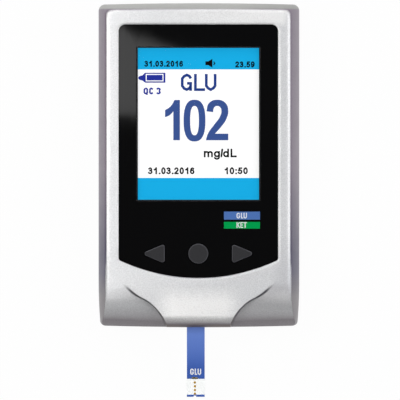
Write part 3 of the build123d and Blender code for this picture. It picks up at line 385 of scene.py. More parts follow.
def ranged(tree, value, low, high, start=0.35, end=0.65):
    """value between start and end spread over low to high."""
    places = {"Value": value, "From Min": start, "From Max": end, "To Min": low, "To Max": high}
    return output_of(tree, "MapRange", places)


def between(tree, share, first, second):
    """A colour from first to second. Each is a colour or another node's output."""
    return output_of(tree, "Mix", {0: share, 6: first, 7: second}, 2, data_type="RGBA")


def combine(tree, operation, result, *others):
    """A sum, product or the like of values, each a number or another node's output."""
    for value in others:
        result = output_of(tree, "Math", {0: result, 1: value}, operation=operation)
    return result


def turned_away(tree, normal=None):
    """0 where the surface faces the front of the meter and 1 where it stands square to it."""
    normal = normal or output_of(tree, "NewGeometry", output="Normal")
    facing = output_of(tree, "VectorMath", {0: normal, 1: (0, 0, 1)}, "Value", operation="DOT_PRODUCT")
    return combine(tree, "SUBTRACT", 1, facing)


def shade(colour, factor):
    return tuple(channel * factor for channel in colour)


def bumps(tree, height, distance, over=None):
    """Relief from a height pattern. over is relief that lies beneath it."""
    inputs = {"Distance": distance, "Height": height}
    if over is not None:
        inputs["Normal"] = over
    return output_of(tree, "Bump", inputs)


def mottled(tree, fine, colour, contrast):
    """A colour that a pattern makes darker and paler by the contrast."""
    return between(tree, ranged(tree, fine, 0, 1), shade(colour, 1 - contrast), shade(colour, 1 + contrast))


def grained(name, colour, roughness, metallic=0.0, grain=0.4, contrast=0.06, relief=0.002):
    """A finish whose tone, gloss and surface vary in fine grains, as moulded or plated parts do. Grain and
    relief are in mm."""
    material, tree, shader = new_material(name, colour, roughness, metallic)
    fine = noise(tree, grain * MM, 3.0)
    give(shader, {
        "Base Color": mottled(tree, fine, colour, contrast),
        "Roughness": ranged(tree, fine, roughness * 0.9, roughness * 1.1),
        "Normal": bumps(tree, fine, relief * MM),
    })
    return material


def wear(thing, material):
    """Gives a piece one material."""
    thing.data.materials.clear()
    thing.data.materials.append(material)


def dress(material, *nodes):
    """Gives CAD nodes one material."""
    for name in nodes:
        wear(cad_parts[name], material)


def settings():
    scene = bpy.context.scene
    return scene.meter_sizes, scene.meter_colours


# The crease between the middle and the two grips: (along the body, distance from the middle) in mm.
CREASE = (
    (-50.0, 10.1), (-48.8, 10.4), (-46.3, 11.66), (-43.9, 13.36), (-41.8, 15.9), (-40.0, 19.3), (-38.2, 21.4),
    (-36.0, 23.4),
)


class FrontPaint:
    """Metallic paint with fine flake, whose tone changes with its slant and its place on the front cover:
    painted shade where it slants away from the front, on the right and along the crease, and painted
    highlights on the rolled edges, mid foot and top end.

    Shares are given by where they start and end, in mm from the middle of the body or across from the crease.
    They run from 0 to 1, or between the two values that follow.
    """

    def __init__(self, colour, painted_shades):
        """Tones of painted shade on slanting paint, given after the colour: at the top end, on the sides, low
        on the sides and at the foot.
        """
        self.colour, self.painted_shades = colour, painted_shades
        paint = new_material("silver paint", colour, roughness=0.42, metallic=0.45)
        self.material, self.tree, self.shader = paint
        across, up, _ = object_axes(self.tree)
        aside = combine(self.tree, "ABSOLUTE", across, 0)
        self.across, self.up, self.aside = map(self.share_by, (across, up, aside))
        self.off_crease = self.crease_distance(aside)
        self.beside = self.share_by(self.off_crease)
        self.edges = self.rounded_edges()
        self.away = turned_away(self.tree, self.edges)
        self.grip = self.beside(-0.1, 0.1)
        self.nose = combine(self.tree, "SUBTRACT", 1, self.grip)

    def share_by(self, place):
        """A function that spreads this place, between start and end, over low to high."""
        def share(start, end, low=0, high=1):
            return ranged(self.tree, place, low, high, start * MM, end * MM)

        return share

    def turned(self, start, end):
        """The share by how far the surface turns away from the front."""
        return ranged(self.tree, self.away, 0, 1, start, end)

    def times(self, *values):
        return combine(self.tree, "MULTIPLY", *values)

    def most(self, *values):
        return combine(self.tree, "MAXIMUM", *values)

    def rounded_edges(self):
        """The surface's direction, its edges rounded finely at the foot, more above and most at the sides."""
        radius = self.up(-43, -38, 0.25 * MM, 1.4 * MM)
        side_factor = self.aside(25.8, 26.4, 1, 1.6)
        return output_of(self.tree, "Bevel", {"Radius": self.times(radius, side_factor)}, samples=8)

    def crease_distance(self, aside):
        """Distance across from the crease, above 0 on the grip's side."""
        half_width = 31.0
        start, end = CREASE[0][0], CREASE[-1][0]
        curve = output_of(self.tree, "FloatCurve", {"Value": self.up(start, end)}).node
        places = [((y - start) / (end - start), x / half_width) for y, x in CREASE]
        points = curve.mapping.curves[0].points
        points[0].location, points[-1].location = places[0], places[-1]
        for place in places[1:-1]:
            points.new(*place)
        curve.mapping.update()
        crease = combine(self.tree, "MULTIPLY", curve.outputs[0], half_width * MM)
        return combine(self.tree, "SUBTRACT", aside, crease)

    def painted_shade_tone(self):
        """The painted shade on slanting paint, which changes from top end to foot and is darker at the top
        right.
        """
        top, *lower = self.painted_shades
        blend = between(self.tree, self.across(12, 23), top, shade(top, 0.80))
        for painted_shade, start, end in zip(lower, (48.4, -1, -33), (48.0, -27, -40.5)):
            blend = between(self.tree, self.up(start, end), blend, painted_shade)
        return blend

    def tone_with_painted_highlights(self):
        """The tone of paint that faces the front, with painted highlights that make it whiter on the rolled
        edges, mid foot and at the top end.
        """
        # Painted highlights: rolled, foot and head mark where the paint turns whiter, as if lit, on the
        # rolled edges, mid foot and along the top end.
        rolled = self.times(self.up(-34, -22), self.aside(22, 25), self.turned(0.004, 0.016))
        foot = self.times(self.up(-37, -42), self.aside(14, 8))
        head = self.times(self.up(42.5, 44.5), self.across(-14, 22), self.aside(28, 26))
        return between(self.tree, self.most(rolled, foot, head), self.colour, (1, 1, 1))

    def painted_shade_share(self):
        """How far the painted shade shows: on the outer slopes, down the flanks, some on the grips, and as
        painted shade beside the crease and on the right grip and shoulder.
        """
        steep = self.times(self.turned(0.015, 0.20), self.up(-34, -30))
        falling_grip = self.times(self.grip, self.turned(0.12, 0.36))
        falling_nose = self.times(self.nose, self.turned(0.04, 0.33))
        outer = self.most(self.aside(28.0, 28.4), self.up(45, 45.5), self.up(-33, -34))
        flank = self.times(self.aside(28.1, 28.45), self.up(-36, -26))
        crease_shade = self.times(self.grip, self.up(-37.5, -39.5), self.beside(0, 5, 0.14, 0))
        right_grip_shade = self.times(
            self.grip, self.up(-34.5, -37.5), self.up(-38.5, -42, 1, 0.6), self.across(8, 12, 0, 0.34),
        )
        right_shoulder_shade = self.times(self.up(-20, -36), self.across(22, 26, 0, 0.18))
        slopes = self.times(self.most(steep, falling_grip, falling_nose), outer)
        return self.most(slopes, crease_shade, right_grip_shade, right_shoulder_shade, flank)

    def lip_painted_shade(self):
        """The lower edge of the nose, where it falls to the strip: painted shade that darkens it."""
        return self.times(self.nose, self.up(-46, -48), self.turned(0.31, 0.50))

    def crease_painted_shade(self):
        """A fine painted shade line along the crease, and painted shade in hollows."""
        reach = self.up(-43.5, -40.5, 0.30 * MM, 0.62 * MM)
        off_line = combine(self.tree, "DIVIDE", combine(self.tree, "ABSOLUTE", self.off_crease, 0), reach)
        fine = ranged(self.tree, off_line, 0.85, 0, 0.35, 1.25)
        line = self.times(fine, self.up(-36.6, -38.6), self.up(-48.5, -45.5, 0.25, 1))
        hollow = output_of(self.tree, "AmbientOcclusion", {"Distance": 1.2 * MM}, "AO", samples=8)
        return self.most(line, ranged(self.tree, hollow, 1, 0, 0.40, 0.85))

    def finish(self):
        """The material, with its painted shade, painted highlights and its flake."""
        tree = self.tree
        # Painted shade and highlights over the paint, then a painted darker lip on the nose and a painted
        # shade line along the crease.
        tinted = between(tree, self.painted_shade_share(), self.tone_with_painted_highlights(), self.painted_shade_tone())
        tinted = between(tree, self.lip_painted_shade(), tinted, tone(108, 98, 96))
        tinted = between(tree, self.crease_painted_shade(), tinted, tone(62, 60, 70))
        flake = noise(tree, 0.34 * MM, 1.0)
        dull, bright = (0.90, 0.90, 0.90), (1.07, 1.07, 1.07)
        flecked = between(tree, 1, tinted, between(tree, ranged(tree, flake, 0, 1, 0.3, 0.7), dull, bright))
        flecked.node.blend_type = "MULTIPLY"
        give(self.shader, {
            "Base Color": flecked,
            "Roughness": ranged(tree, noise(tree, 5 * MM), 0.41, 0.45),
            "Normal": bumps(tree, flake, 0.004 * MM, over=self.edges),
        })
        return self.material


def clear_pane(name, mirror, roughness):
    """Thin clear material: lets light through, and mirrors a little more at a glance."""
    material, tree = bare_material(name)
    relief = bumps(tree, noise(tree, 4 * MM), 0.0005 * MM)
    gloss = output_of(tree, "BsdfGlossy", {"Roughness": roughness, "Normal": relief})
    share, clear = output_of(tree, "Fresnel", {"IOR": mirror}), output_of(tree, "BsdfTransparent")
    give_surface(tree, mixed_shaders(tree, share, clear, gloss))
    return material


def lit(name, colour, glow=0.5):
    """A field or print of the display, with a fine grid of pixels. glow is the share of its own light."""
    material, tree, shader = new_material(name, shade(colour, 1 - glow), 0.5, shine=0.05)
    brightness, column, row, gap = 1.17, 0.157 * MM, 0.147 * MM, 0.01 * MM
    pixels = output_of(tree, "TexBrick", {
        "Vector": object_place(tree), "Scale": 1, "Brick Width": column, "Row Height": row,
        "Mortar Size": gap, "Mortar": shade(colour, 0.95), "Color1": colour, "Color2": colour,
    }, offset=0)
    give(shader, {"Emission Color": pixels, "Emission Strength": glow * brightness})
    return material


# ---- Pieces ----

class MeterOperator:
    bl_options = {"REGISTER"}


class METER_OT_covers(MeterOperator, bpy.types.Operator):
    """Finish the front cover, the rear cover, the battery door and the thumb piece of the strip ejector"""

    bl_idname = "meter.covers"
    bl_label = "Covers"

    def execute(self, context):
        colours = context.scene.meter_colours
        painted_shades = (colours.top_painted_shade, colours.painted_shade, colours.low_painted_shade, colours.foot_painted_shade)
        dress(FrontPaint(colours.paint, painted_shades).finish(), "front_cover")
        rear = grained("rear plastic", colours.rear, 0.55, grain=0.5, contrast=0.05, relief=0.012)
        dress(rear, "rear_cover", "battery_door")
        thumb = grained("thumb plastic", shade(colours.rear, 0.35), 0.5, grain=0.4, relief=0.01)
        dress(thumb, "ejector_thumb")
        return {"FINISHED"}


class METER_OT_lens(MeterOperator, bpy.types.Operator):
    """Finish the black lens panel, its clear window and the tape under it"""

    bl_idname = "meter.lens"
    bl_label = "Lens Panel"

    def execute(self, context):
        colours = context.scene.meter_colours
        black, tree, shader = new_material("black lens", colours.lens, 0.03)
        give(shader, {
            "Roughness": ranged(tree, noise(tree, 9 * MM, 3.0), 0.025, 0.035),
            "Normal": bumps(tree, noise(tree, 6 * MM), 0.001 * MM),
        })
        dress(black, "lens_panel")
        dress(clear_pane("clear lens", 1.03, 0.03), "display_window")
        dress(grained("black tape", tone(30, 30, 30), 0.8), "lens_adhesive")
        foam = grained("foam", tone(26, 26, 27), 0.95, grain=0.25, contrast=0.3, relief=0.05)
        dress(foam, "display_gasket")
        return {"FINISHED"}


class Display:
    """Places on the display, measured from the left and top edges of its lit field in mm, and its layers."""

    def __init__(self, sizes):
        low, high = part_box("display_window")
        middle = (low + high) / 2
        self.left = middle.x - sizes.field_width / 2
        self.top = middle.y + sizes.field_height / 2
        gap = 0.01 * MM
        self.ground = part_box("display_glass")[1].z + gap
        self.layer = sizes.layer
        self.ink = self.ground + self.layer

    def x(self, right):
        return self.left + right * MM

    def y(self, down):
        return self.top - down * MM

    def points(self, chain):
        """A chain of points, each with its kind where it has one."""
        return [(self.x(right), self.y(down), *kind) for right, down, *kind in chain]

    def shape(self, name, loops):
        """A flat shape in the layer of the ink."""
        return flat_outline(name, [self.points(loop) for loop in loops], self.ink, self.layer)

    def lines(self, name, chains, weight):
        """Lines of one thickness, in mm, in the layer of the ink."""
        return strokes(name, [self.points(chain) for chain in chains], weight * MM, self.ink, self.layer)


def ride_display(thing, material, body="case"):
    """Gives a piece its material and makes it move with the given body, the case unless another is named."""
    wear(thing, material)
    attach(thing, body)


class METER_OT_display(MeterOperator, bpy.types.Operator):
    """Model the white field and the two blue bands of the display"""

    bl_idname = "meter.display"
    bl_label = "Display Fields"

    def execute(self, context):
        sizes, colours = settings()
        display = Display(sizes)
        margin = 0.085 * MM
        left, right = display.left + margin, display.left + sizes.field_width - margin
        low = display.top - sizes.field_height
        levels = (low + margin, low + sizes.band_bottom, display.top - sizes.band_top, display.top - margin)
        band = lit("display blue", colours.band)
        fields = zip(("display_lower_band", "display_field", "display_upper_band"), levels, levels[1:])
        white = lit("display white", colours.field)
        for name, start, end in fields:
            field = plate(name, left, right, start, end, display.ground, sizes.layer)
            ride_display(field, white if name == "display_field" else band)
        dress(grained("display glass", tone(38, 37, 39), 0.15, grain=3, relief=0.0005), "display_glass")
        return {"FINISHED"}


class METER_OT_reading(MeterOperator, bpy.types.Operator):
    """Model the large digits of the reading and the name of the test above them"""

    bl_idname = "meter.reading"
    bl_label = "Reading"

    def execute(self, context):
        sizes, colours = settings()
        display = Display(sizes)
        ink = lit("reading blue", colours.reading)
        digits = {
            "reading_one": [[
                (13.04, 28.53), (11.01, 28.53), (11.01, 19.65), (9.95, 20.75, "AUTO"), (8.46, 21.45),
                (8.46, 19.25), (10.2, 18.05, "AUTO"), (11.40, 16.12), (13.04, 16.12),
            ]],
            "reading_nought": [oval(14.19, 20.90, 16.05, 28.89), oval(16.20, 18.89, 17.95, 26.99)],
            "reading_two": [[
                (21.25, 19.60), (21.95, 17.15, "AUTO"), (24.45, 16.05, "AUTO"), (27.05, 17.0, "AUTO"),
                (27.95, 19.45, "AUTO"), (27.3, 22.1, "AUTO"), (25.9, 24.2, "AUTO"), (23.85, 26.50),
                (27.95, 26.50), (27.95, 28.53), (21.02, 28.53), (21.75, 26.35, "AUTO"),
                (23.6, 23.75, "AUTO"), (25.35, 21.3, "AUTO"), (25.85, 19.55, "AUTO"), (25.45, 18.35, "AUTO"),
                (24.5, 17.95, "AUTO"), (23.6, 18.45, "AUTO"), (23.25, 19.85),
            ]],
        }
        for name, loops in digits.items():
            ride_display(display.shape(name, loops), ink)
        heading = display.lines("display_heading", heading_lines(), 0.83)
        ride_display(heading, lit("heading blue", colours.heading))
        return {"FINISHED"}


def oval(left, right, top, low):
    """A narrow upright oval, squarer than an ellipse, as Bezier points."""
    count, squareness = 24, 2.5
    loop = []
    for n in range(count):
        turn = 2 * math.pi * n / count
        across, up = [
            math.copysign(abs(part) ** (2 / squareness), part) for part in (math.cos(turn), math.sin(turn))
        ]
        x = (left + right) / 2 + (right - left) / 2 * across
        y = (top + low) / 2 + (low - top) / 2 * up
        loop.append((x, y, "AUTO"))
    return loop


def heading_lines():
    """Centre lines of the letters G, L and U of the heading."""
    return [
        [
            (16.43, 9.50), (15.97, 8.78), (15.19, 8.42), (14.35, 8.80), (13.75, 9.55), (13.75, 11.75),
            (14.35, 12.57), (15.15, 12.93), (15.95, 12.50), (16.35, 11.85),
        ],
        [(15.25, 10.98), (16.35, 10.98), (16.35, 13.28)],
        [(17.82, 8.10), (17.82, 12.93), (20.78, 12.93)],
        [
            (21.18, 8.10), (21.18, 11.75), (21.75, 12.50), (22.54, 12.93), (23.33, 12.50), (23.90, 11.75),
            (23.90, 8.10),
        ],
    ]


class METER_OT_display_text(MeterOperator, bpy.types.Operator):
    """Model the dates, the times and the unit on the display"""

    bl_idname = "meter.display_text"
    bl_label = "Display Text"

    def execute(self, context):
        sizes, colours = settings()
        display = Display(sizes)
        ink = lit("display ink", colours.ink, glow=0.1)
        # name, signs, left end, base line, width, height of the capitals, thickness of the strokes
        lines = (
            ("upper_date", "31.03.2016", 2.12, 5.88, 11.86, 1.84, 0.40),
            ("upper_time", "23.59", 30.12, 6.08, 5.93, 1.84, 0.40),
            ("unit", ("m", "g", "/", "d", "wide L"), 20.42, 33.77, 10.12, 2.64, 0.53),
            ("lower_date", "31.03.2016", 3.25, 38.99, 14.26, 2.10, 0.46),
            ("lower_time", "10:50", 26.85, 38.99, 7.12, 2.10, 0.46),
        )
        for name, signs, left, base, width, height, weight in lines:
            text = lettering(
                name, signs, display.x(left), display.y(base), width * MM, height * MM,
                display.ink, sizes.layer, weight * MM,
            )
            ride_display(text, ink)
        return {"FINISHED"}


class METER_OT_display_icons(MeterOperator, bpy.types.Operator):
    """Model the speaker and the control bottle on the display, with the bottle's label"""

    bl_idname = "meter.display_icons"
    bl_label = "Display Icons"

    def execute(self, context):
        sizes, colours = settings()
        display = Display(sizes)
        ink = lit("icon ink", colours.ink, glow=0.1)
        cone = [(20.90, 4.22), (21.75, 4.22), (23.05, 3.45), (23.05, 6.15), (21.75, 5.38), (20.90, 5.38)]
        speaker = display.shape("speaker_icon", [cone])
        wave = display.lines("speaker_wave", [[(23.42, 4.28), (23.80, 4.80), (23.42, 5.32)]], 0.34)
        ride_display(join("speaker_icon", [speaker, wave]), ink)
        blue = lit("control blue", colours.control)
        outside = [
            (0.20, 9.32, "AUTO"), (0.62, 8.78, "AUTO"), (1.5, 8.55), (2.25, 7.75), (8.56, 7.75),
            (8.56, 10.79), (2.35, 10.79), (1.5, 10.13), (0.62, 9.88, "AUTO"),
        ]
        glass = [(2.50, 8.08), (7.98, 8.08), (7.98, 10.39), (2.50, 10.39)]
        filling = [(2.80, 8.38), (7.68, 8.38), (7.68, 10.09), (2.80, 10.09)]
        ride_display(display.shape("bottle_icon", (outside, glass, filling)), blue)
        ride_display(display.lines("bottle_label", label_lines(), 0.50), blue)
        return {"FINISHED"}


def label_lines():
    """Centre lines of Q, C and 3 beside the bottle."""
    top, base, turn = 12.58, 14.12, 0.28

    def cut_box(left, right):
        """A box with its corners cut off, on from the left end of its top."""
        return [
            (left + turn, top), (right - turn, top), (right, top + turn), (right, base - turn),
            (right - turn, base), (left + turn, base), (left, base - turn), (left, top + turn),
        ]

    q_right, three_right = 2.97, 6.90
    q, c, three = cut_box(2.08, q_right), cut_box(3.80, 4.68), cut_box(5.92, three_right)
    waist = (three_right - turn * 0.9, (top + base) / 2)
    return [
        q + q[:1],
        [(q_right - 0.15, base - 0.35), (q_right - 0.05, base + 0.42)],
        c[2::-1] + c[:2:-1],
        [three[-1], *three[:3], waist],
        [waist, *three[3:-1]],
    ]


class METER_OT_tags(MeterOperator, bpy.types.Operator):
    """Model the two printed tags on the lens panel, with their letters"""

    bl_idname = "meter.tags"
    bl_label = "Tags"

    def execute(self, context):
        sizes, colours = settings()
        white = grained("tag print", tone(238, 240, 243), 0.1, grain=0.3, contrast=0.02)
        letters_left, width, height, weight = 11.78 * MM, 3.2 * MM, 1.75 * MM, 0.30 * MM
        # name, signs, left, right, top, low, base line, colour: from the middle of the body, in mm
        tags = (
            ("glucose_tag", "GLU", 7.90, 19.00, -14.25, -16.72, -16.36, colours.glucose_tag),
            ("ketone_tag", "KET", 7.90, 19.00, -17.42, -19.47, -19.25, colours.ketone_tag),
        )
        for name, signs, left, right, top, low, base, colour in tags:
            tag = plate(name, left * MM, right * MM, low * MM, top * MM, 0, sizes.print_layer)
            self.settle(tag, 0)
            finish = grained(name.replace("_", " "), colour, 0.1, grain=0.3, contrast=0.04)
            ride_display(tag, finish)
            letters = lettering(
                name + "_letters", signs, letters_left, base * MM, width, height,
                0, sizes.print_layer, weight,
            )
            self.settle(letters, sizes.print_layer)
            ride_display(letters, white)
        return {"FINISHED"}

    def settle(self, thing, lift):
        """Lays a flat piece on the crowned face of the panel, raised by lift."""
        crown_radius, strips = 525 * MM, 8
        places = [vertex.co.x for vertex in thing.data.vertices]
        low, high = min(places), max(places)
        with Editing(thing):
            for n in range(1, strips):
                across = low + (high - low) * n / strips
                bpy.ops.mesh.select_all(action="SELECT")
                bpy.ops.mesh.bisect(plane_co=(across, 0, 0), plane_no=(1, 0, 0))
        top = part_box("lens_panel")[1].z
        for vertex in thing.data.vertices:
            sag = crown_radius - math.sqrt(crown_radius ** 2 - vertex.co.x ** 2)
            vertex.co.z += top - sag + lift


class METER_OT_keys(MeterOperator, bpy.types.Operator):
    """Finish the three keys and what they press"""

    bl_idname = "meter.keys"
    bl_label = "Keys"

    def execute(self, context):
        colours = context.scene.meter_colours
        dress(self.rubber(colours.key), "left_key", "centre_key", "right_key")
        black = grained("black plastic", tone(45, 45, 47), 0.5)
        for side in ("left", "centre", "right"):
            dress(black, f"{side}_plunger", f"{side}_switch")
        return {"FINISHED"}

    def rubber(self, colour):
        """Dark rubber, with a painted highlight that makes it paler where the edge of a key turns down."""
        material, tree, shader = new_material("key rubber", colour, 0.5, shine=0.2)
        fine = noise(tree, 0.3 * MM, 3.0)
        # Painted highlight: the turned-down edge is four times paler than the face of the key.
        turned = ranged(tree, turned_away(tree), 0, 1, 0.01, 0.12)
        tinted = between(tree, turned, mottled(tree, fine, colour, 0.08), shade(colour, 4))
        give(shader, {"Base Color": tinted, "Normal": bumps(tree, fine, 0.004 * MM)})
        return material


class METER_OT_strip(MeterOperator, bpy.types.Operator):
    """Finish the test strip and model its letters, sample mark and dots"""

    bl_idname = "meter.strip"
    bl_label = "Test Strip"

    def execute(self, context):
        sizes, colours = settings()
        base = grained("strip base", colours.strip_base, 0.35, grain=0.6, contrast=0.015)
        # Painted glow: the white base gives off a little light of its own, to look brighter.
        own_light = {"Emission Color": colours.strip_base, "Emission Strength": 0.13}
        give(base.node_tree.nodes["Principled BSDF"], own_light)
        dress(base, "strip_base")
        dress(self.film(colours.strip), "strip_film", "strip_tip_film")
        low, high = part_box("strip_film")
        base_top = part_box("strip_base")[1].z
        middle = (low.x + high.x) / 2
        ink = grained("strip print", tone(246, 247, 250), 0.4, grain=0.3, contrast=0.02)
        left, base_line, width, height, weight = 1.76 * MM, 1.18 * MM, 3.42 * MM, 1.93 * MM, 0.36 * MM
        letters = lettering(
            "strip_letters", "GLU", middle - left, low.y + base_line, width, height,
            high.z, sizes.print_layer, weight,
        )
        marks = [(letters, ink, "strip_white")]
        marks_aside, half_mark, mark_low, mark_high = 0.28 * MM, 0.95 * MM, 0.1 * MM, 0.5 * MM
        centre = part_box("strip_tip_film")[0].x + (high.x - low.x) / 2 - marks_aside
        sample_mark = plate(
            "sample_mark", centre - half_mark, centre + half_mark, low.y - mark_low, low.y + mark_high,
            high.z, sizes.print_layer, corner=0.25 * MM,
        )
        marks.append((sample_mark, self.mark_finish(), "strip_blue"))
        gold = grained("gold", colours.gold, 0.35, 0.2, grain=0.2, contrast=0.08)
        dot_spacing, dot_count, first_dot = 1.165 * MM, 4, 1.18 * MM
        for number in range(dot_count):
            place = low.y - first_dot - number * dot_spacing
            dot = self.dot(f"gold_dot_{number + 1}", centre, place, base_top)
            marks.append((dot, gold, "gold_contacts"))
        for mark, material, slot in marks:
            wear(mark, material)
            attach(mark, "test_strip")
        return {"FINISHED"}

    def film(self, colour):
        """Blue film, with painted light at the meter's end: paler there and glowing a little."""
        material, tree, shader = new_material("strip film", colour, 0.4, shine=0.2)
        blue = mottled(tree, noise(tree, 0.3 * MM, 3.0), colour, 0.03)
        # Painted light: the film turns paler and glows a little towards the meter's end, where the case above
        # it would shade it.
        pale = ranged(tree, object_axes(tree)["Y"], 0, 0.65, -63 * MM, -50 * MM)
        give(shader, {
            "Emission Color": tone(110, 135, 205),
            "Emission Strength": combine(tree, "MULTIPLY", pale, 0.5),
            "Base Color": between(tree, pale, blue, tone(118, 152, 228)),
        })
        return material

    def mark_finish(self):
        """Dark olive with paler patches."""
        dark, pale = tone(52, 50, 30), tone(150, 135, 92)
        material, tree, shader = new_material("sample mark", dark, 0.4)
        patches = ranged(tree, noise(tree, 0.5 * MM), 0, 1)
        give(shader, {"Base Color": between(tree, patches, dark, pale)})
        return material

    def dot(self, name, x, y, bottom):
        """A low dome, raised in steps: (share of the height, size beside the step below)."""
        radius, height = 0.37 * MM, 0.03 * MM
        made = add(name, bpy.ops.mesh.primitive_circle_add, vertices=20, radius=radius, fill_type="NGON")
        steps = ((0.5, 0.94), (0.35, 0.7), (0.15, 0.4))
        with Editing(made):
            bpy.ops.transform.translate(value=(x, y, bottom))
            for rise, shrink in steps:
                bpy.ops.mesh.extrude_region_move(TRANSFORM_OT_translate={"value": (0, 0, height * rise)})
                bpy.ops.transform.resize(value=(shrink, shrink, 1), center_override=(x, y, bottom))
            face_outwards()
        return made


class METER_OT_inside(MeterOperator, bpy.types.Operator):
    """Finish the parts inside the meter"""

    bl_idname = "meter.inside"
    bl_label = "Inside"

    def execute(self, context):
        dress(grained("white plastic", tone(236, 236, 233), 0.45), "display_tray")
        dress(grained("light guide", tone(244, 246, 247), 0.25, grain=1.2, contrast=0.02), "backlight")
        ivory = grained("ivory plastic", tone(222, 216, 198), 0.45)
        dress(ivory, "flex_connector", "key_guide", "strip_connector")
        dress(grained("amber film", tone(190, 120, 30), 0.3, grain=1.0), "display_flex")
        dress(self.laminate(), "main_board")
        resin = grained("black resin", tone(34, 34, 36), 0.45, grain=0.3)
        dress(resin, "microcontroller", "memory_chip", "analog_chip")
        dress(grained("can steel", tone(196, 196, 198), 0.3, 0.9, grain=0.6), "crystal")
        dress(grained("buzzer plastic", tone(40, 40, 41), 0.4), "buzzer")
        dress(grained("fired ceramic", tone(176, 146, 104), 0.5, grain=0.3), "capacitors")
        steel = grained("plated steel", tone(186, 187, 190), 0.32, 0.95, grain=0.5, relief=0.003)
        dress(steel, "case_screws", "board_screws", "guide_screws")
        dress(grained("spring steel", tone(190, 191, 194), 0.28, 0.95, grain=0.4), "ejector_spring")
        nickel = grained("nickel", tone(206, 204, 198), 0.3, 0.95, grain=0.6)
        dress(nickel, "negative_contact", "positive_contact", "link_contact")
        dress(grained("gold contacts", tone(212, 170, 70), 0.3, 0.95, grain=0.4), "strip_contacts")
        dress(grained("carriage plastic", tone(60, 60, 63), 0.5), "ejector_carriage")
        for name, side in (("battery_left", -1), ("battery_right", 1)):
            dress(self.jacket(name, side), name)
        return {"FINISHED"}

    def laminate(self):
        """Green solder mask with paler tracks."""
        green = tone(28, 96, 58)
        material, tree, shader = new_material("board laminate", green, 0.4)
        tracks = output_of(
            tree, "TexVoronoi", {"Scale": 1 / (3.2 * MM), "Vector": object_place(tree)}, "Distance",
            feature="DISTANCE_TO_EDGE", distance="MANHATTAN",
        )
        line = ranged(tree, tracks, 1, 0, 0.03, 0.07)
        tinted = between(tree, line, green, tone(60, 140, 86))
        give(shader, {"Base Color": tinted, "Normal": bumps(tree, line, 0.03 * MM)})
        return material

    def jacket(self, name, side):
        """Printed steel jacket of a cell: a dark sleeve with a copper ring at its raised end."""
        low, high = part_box(name)
        material, tree, shader = new_material(name.replace("_", " ") + " jacket", tone(40, 45, 56), 0.3, 0.5)
        raised_end, inwards = (high.y, -1) if side < 0 else (low.y, 1)
        ring = [raised_end + inwards * part * (high.y - low.y) for part in (0.24, 0.22)]
        share = ranged(tree, object_axes(tree)["Y"], 0, 1, *ring)
        print_grain = ranged(tree, noise(tree, 0.6 * MM), 0, 1)
        sleeve = between(tree, print_grain, tone(36, 41, 52), tone(46, 51, 62))
        copper = between(tree, print_grain, tone(176, 116, 70), tone(190, 128, 80))
        give(shader, {"Base Color": between(tree, share, sleeve, copper)})
        return material


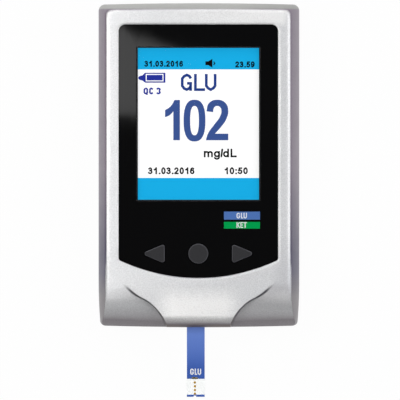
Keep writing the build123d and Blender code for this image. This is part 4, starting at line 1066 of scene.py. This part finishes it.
class METER_OT_stage(MeterOperator, bpy.types.Operator):
    """Set up the floor, the lamps, the surroundings and the camera"""

    bl_idname = "meter.stage"
    bl_label = "Stage"

    def execute(self, context):
        self.floor()
        self.surroundings()
        self.lamps()
        self.card()
        self.camera(context.scene.meter_sizes)
        context.scene.view_settings.view_transform = "Standard"
        return {"FINISHED"}

    def seen(self, tree):
        """1 for what the camera sees, straight, in a mirror or through glass, and 0 for light."""
        rays = output_of(tree, "LightPath").node.outputs
        kinds = [rays[f"Is {kind} Ray"] for kind in ("Camera", "Transmission", "Glossy")]
        return combine(tree, "MAXIMUM", *kinds)

    def floor(self):
        """A floor that is seen as white with faint shadows, and throws little light back."""
        floor = add("floor", bpy.ops.mesh.primitive_circle_add, vertices=96, radius=3, fill_type="NGON")
        material, tree = bare_material("pale floor")
        own_light = 0.97
        grey = output_of(tree, "BsdfDiffuse", {"Color": (0.34, 0.34, 0.35)})
        white = output_of(tree, "BsdfDiffuse", {"Color": (0.9, 0.9, 0.9)})
        shown = mixed_shaders(tree, own_light, white, output_of(tree, "Emission", {"Strength": 1.0}))
        give_surface(tree, mixed_shaders(tree, self.seen(tree), grey, shown))
        wear(floor, material)

    def surroundings(self):
        """A pale backdrop all round, seen but giving little light, and a dark ceiling."""
        world = bpy.data.worlds.new("studio")
        bpy.context.scene.world = world
        world.use_nodes = True
        tree = world.node_tree
        direction = output_of(tree, "TexCoord", output="Generated")
        height = output_of(tree, "SeparateXYZ", {0: direction}, "Z")
        light = ranged(tree, height, 0.25, 0.03, 0.0, 0.9)
        wall = ranged(tree, height, 1.0, 0.0, 0.10, 0.30)
        strength = combine(tree, "MAXIMUM", light, combine(tree, "MULTIPLY", self.seen(tree), wall))
        give(tree.nodes["Background"], {"Strength": strength, "Color": (1, 1, 1)})

    def lamps(self):
        """Four soft lamps, all aimed at the meter."""
        # name, place, power, size, colour
        lamps = (
            ("key", (-0.24, 0.05, 0.50), 1.0, 0.20, (1.0, 0.99, 0.97)),
            ("fill", (0.60, 0.05, 0.75), 3.1, 0.6, (0.96, 0.97, 1.0)),
            ("foot", (-0.10, -0.39, 0.85), 0.70, 0.24, (1.0, 0.98, 0.96)),
            ("head", (0.0, 0.60, 0.60), 2.2, 0.5, (1.0, 1.0, 1.0)),
        )
        aim = Vector((0, 0, 0.01))
        for name, place, power, size, colour in lamps:
            lamp = add(name, bpy.ops.object.light_add, place, type="AREA")
            lamp.rotation_euler = (Vector(place) - aim).to_track_quat("Z", "Y").to_euler()
            lamp.data.energy = power
            lamp.data.size = size
            lamp.data.color = colour

    def card(self):
        """A narrow lit card overhead, whose soft edge the lens panel mirrors along its left side."""
        card = add("card", bpy.ops.mesh.primitive_plane_add, size=1)
        left, right, low, high, height = -0.38, 0.02, 0.006, 0.058, 0.80
        with Editing(card):
            bpy.ops.transform.resize(value=(right - left, high - low, 1))
            bpy.ops.transform.translate(value=((left + right) / 2, (low + high) / 2, height))
        material, tree = bare_material("lit card")
        across, up, _ = object_axes(tree)
        slope, power = 0.147, 1.5
        lower_fade, upper_fade = (0.0092, 0.0128), (0.0252, 0.0330)
        rising = combine(tree, "ADD", combine(tree, "MULTIPLY", across, slope), up)
        upper = ranged(tree, rising, 1, 0, *upper_fade)
        lower = ranged(tree, up, 0, 1, *lower_fade)
        for fade in (upper, lower):
            fade.node.interpolation_type = "SMOOTHSTEP"
        share = combine(tree, "MULTIPLY", upper, lower)
        glow = output_of(tree, "Emission", {"Strength": combine(tree, "MULTIPLY", share, power)})
        give_surface(tree, mixed_shaders(tree, share, output_of(tree, "BsdfTransparent"), glow))
        wear(card, material)
        card.visible_camera = card.visible_diffuse = card.visible_shadow = False

    def camera(self, sizes):
        """Nearly straight above the display, with the meter's top end up in the picture."""
        centre = Vector((0.33 * MM, -10.81 * MM, 10.5 * MM))
        sensor = 36 * MM
        distance = sizes.span * sizes.lens * MM / sensor
        back = Vector((math.sin(sizes.tilt), math.tan(sizes.rise), math.cos(sizes.tilt))).normalized()
        place, turn = centre + back * distance, (-sizes.rise, sizes.tilt, 0)
        camera = add("camera", bpy.ops.object.camera_add, place, rotation=turn)
        camera.data.lens = sizes.lens
        camera.data.clip_end = 20
        bpy.context.scene.camera = camera


OPERATORS = (
    METER_OT_stage, METER_OT_covers, METER_OT_lens, METER_OT_display, METER_OT_reading, METER_OT_display_text,
    METER_OT_display_icons, METER_OT_tags, METER_OT_keys, METER_OT_strip, METER_OT_inside,
)


class METER_PT_panel(bpy.types.Panel):
    """Lists the meter's pieces, sizes and colours"""

    bl_label = "Glucose Meter"
    bl_idname = "METER_PT_panel"
    bl_space_type = "VIEW_3D"
    bl_region_type = "UI"
    bl_category = "Meter"

    def draw(self, context):
        layout = self.layout
        for operator in OPERATORS:
            layout.operator(operator.bl_idname)
        for group in (context.scene.meter_sizes, context.scene.meter_colours):
            box = layout.box()
            for name in group.__annotations__:
                box.prop(group, name)


CLASSES = (MeterColours, MeterSizes, *OPERATORS, METER_PT_panel)


def register():
    for entry in CLASSES:
        bpy.utils.register_class(entry)
    bpy.types.Scene.meter_colours = bpy.props.PointerProperty(type=MeterColours)
    bpy.types.Scene.meter_sizes = bpy.props.PointerProperty(type=MeterSizes)


def unregister():
    del bpy.types.Scene.meter_sizes
    del bpy.types.Scene.meter_colours
    for entry in reversed(CLASSES):
        bpy.utils.unregister_class(entry)


def main():
    register()
    for operator in OPERATORS:
        group, name = operator.bl_idname.split(".")
        getattr(getattr(bpy.ops, group), name)()


if __name__ == "__main__":
    main()
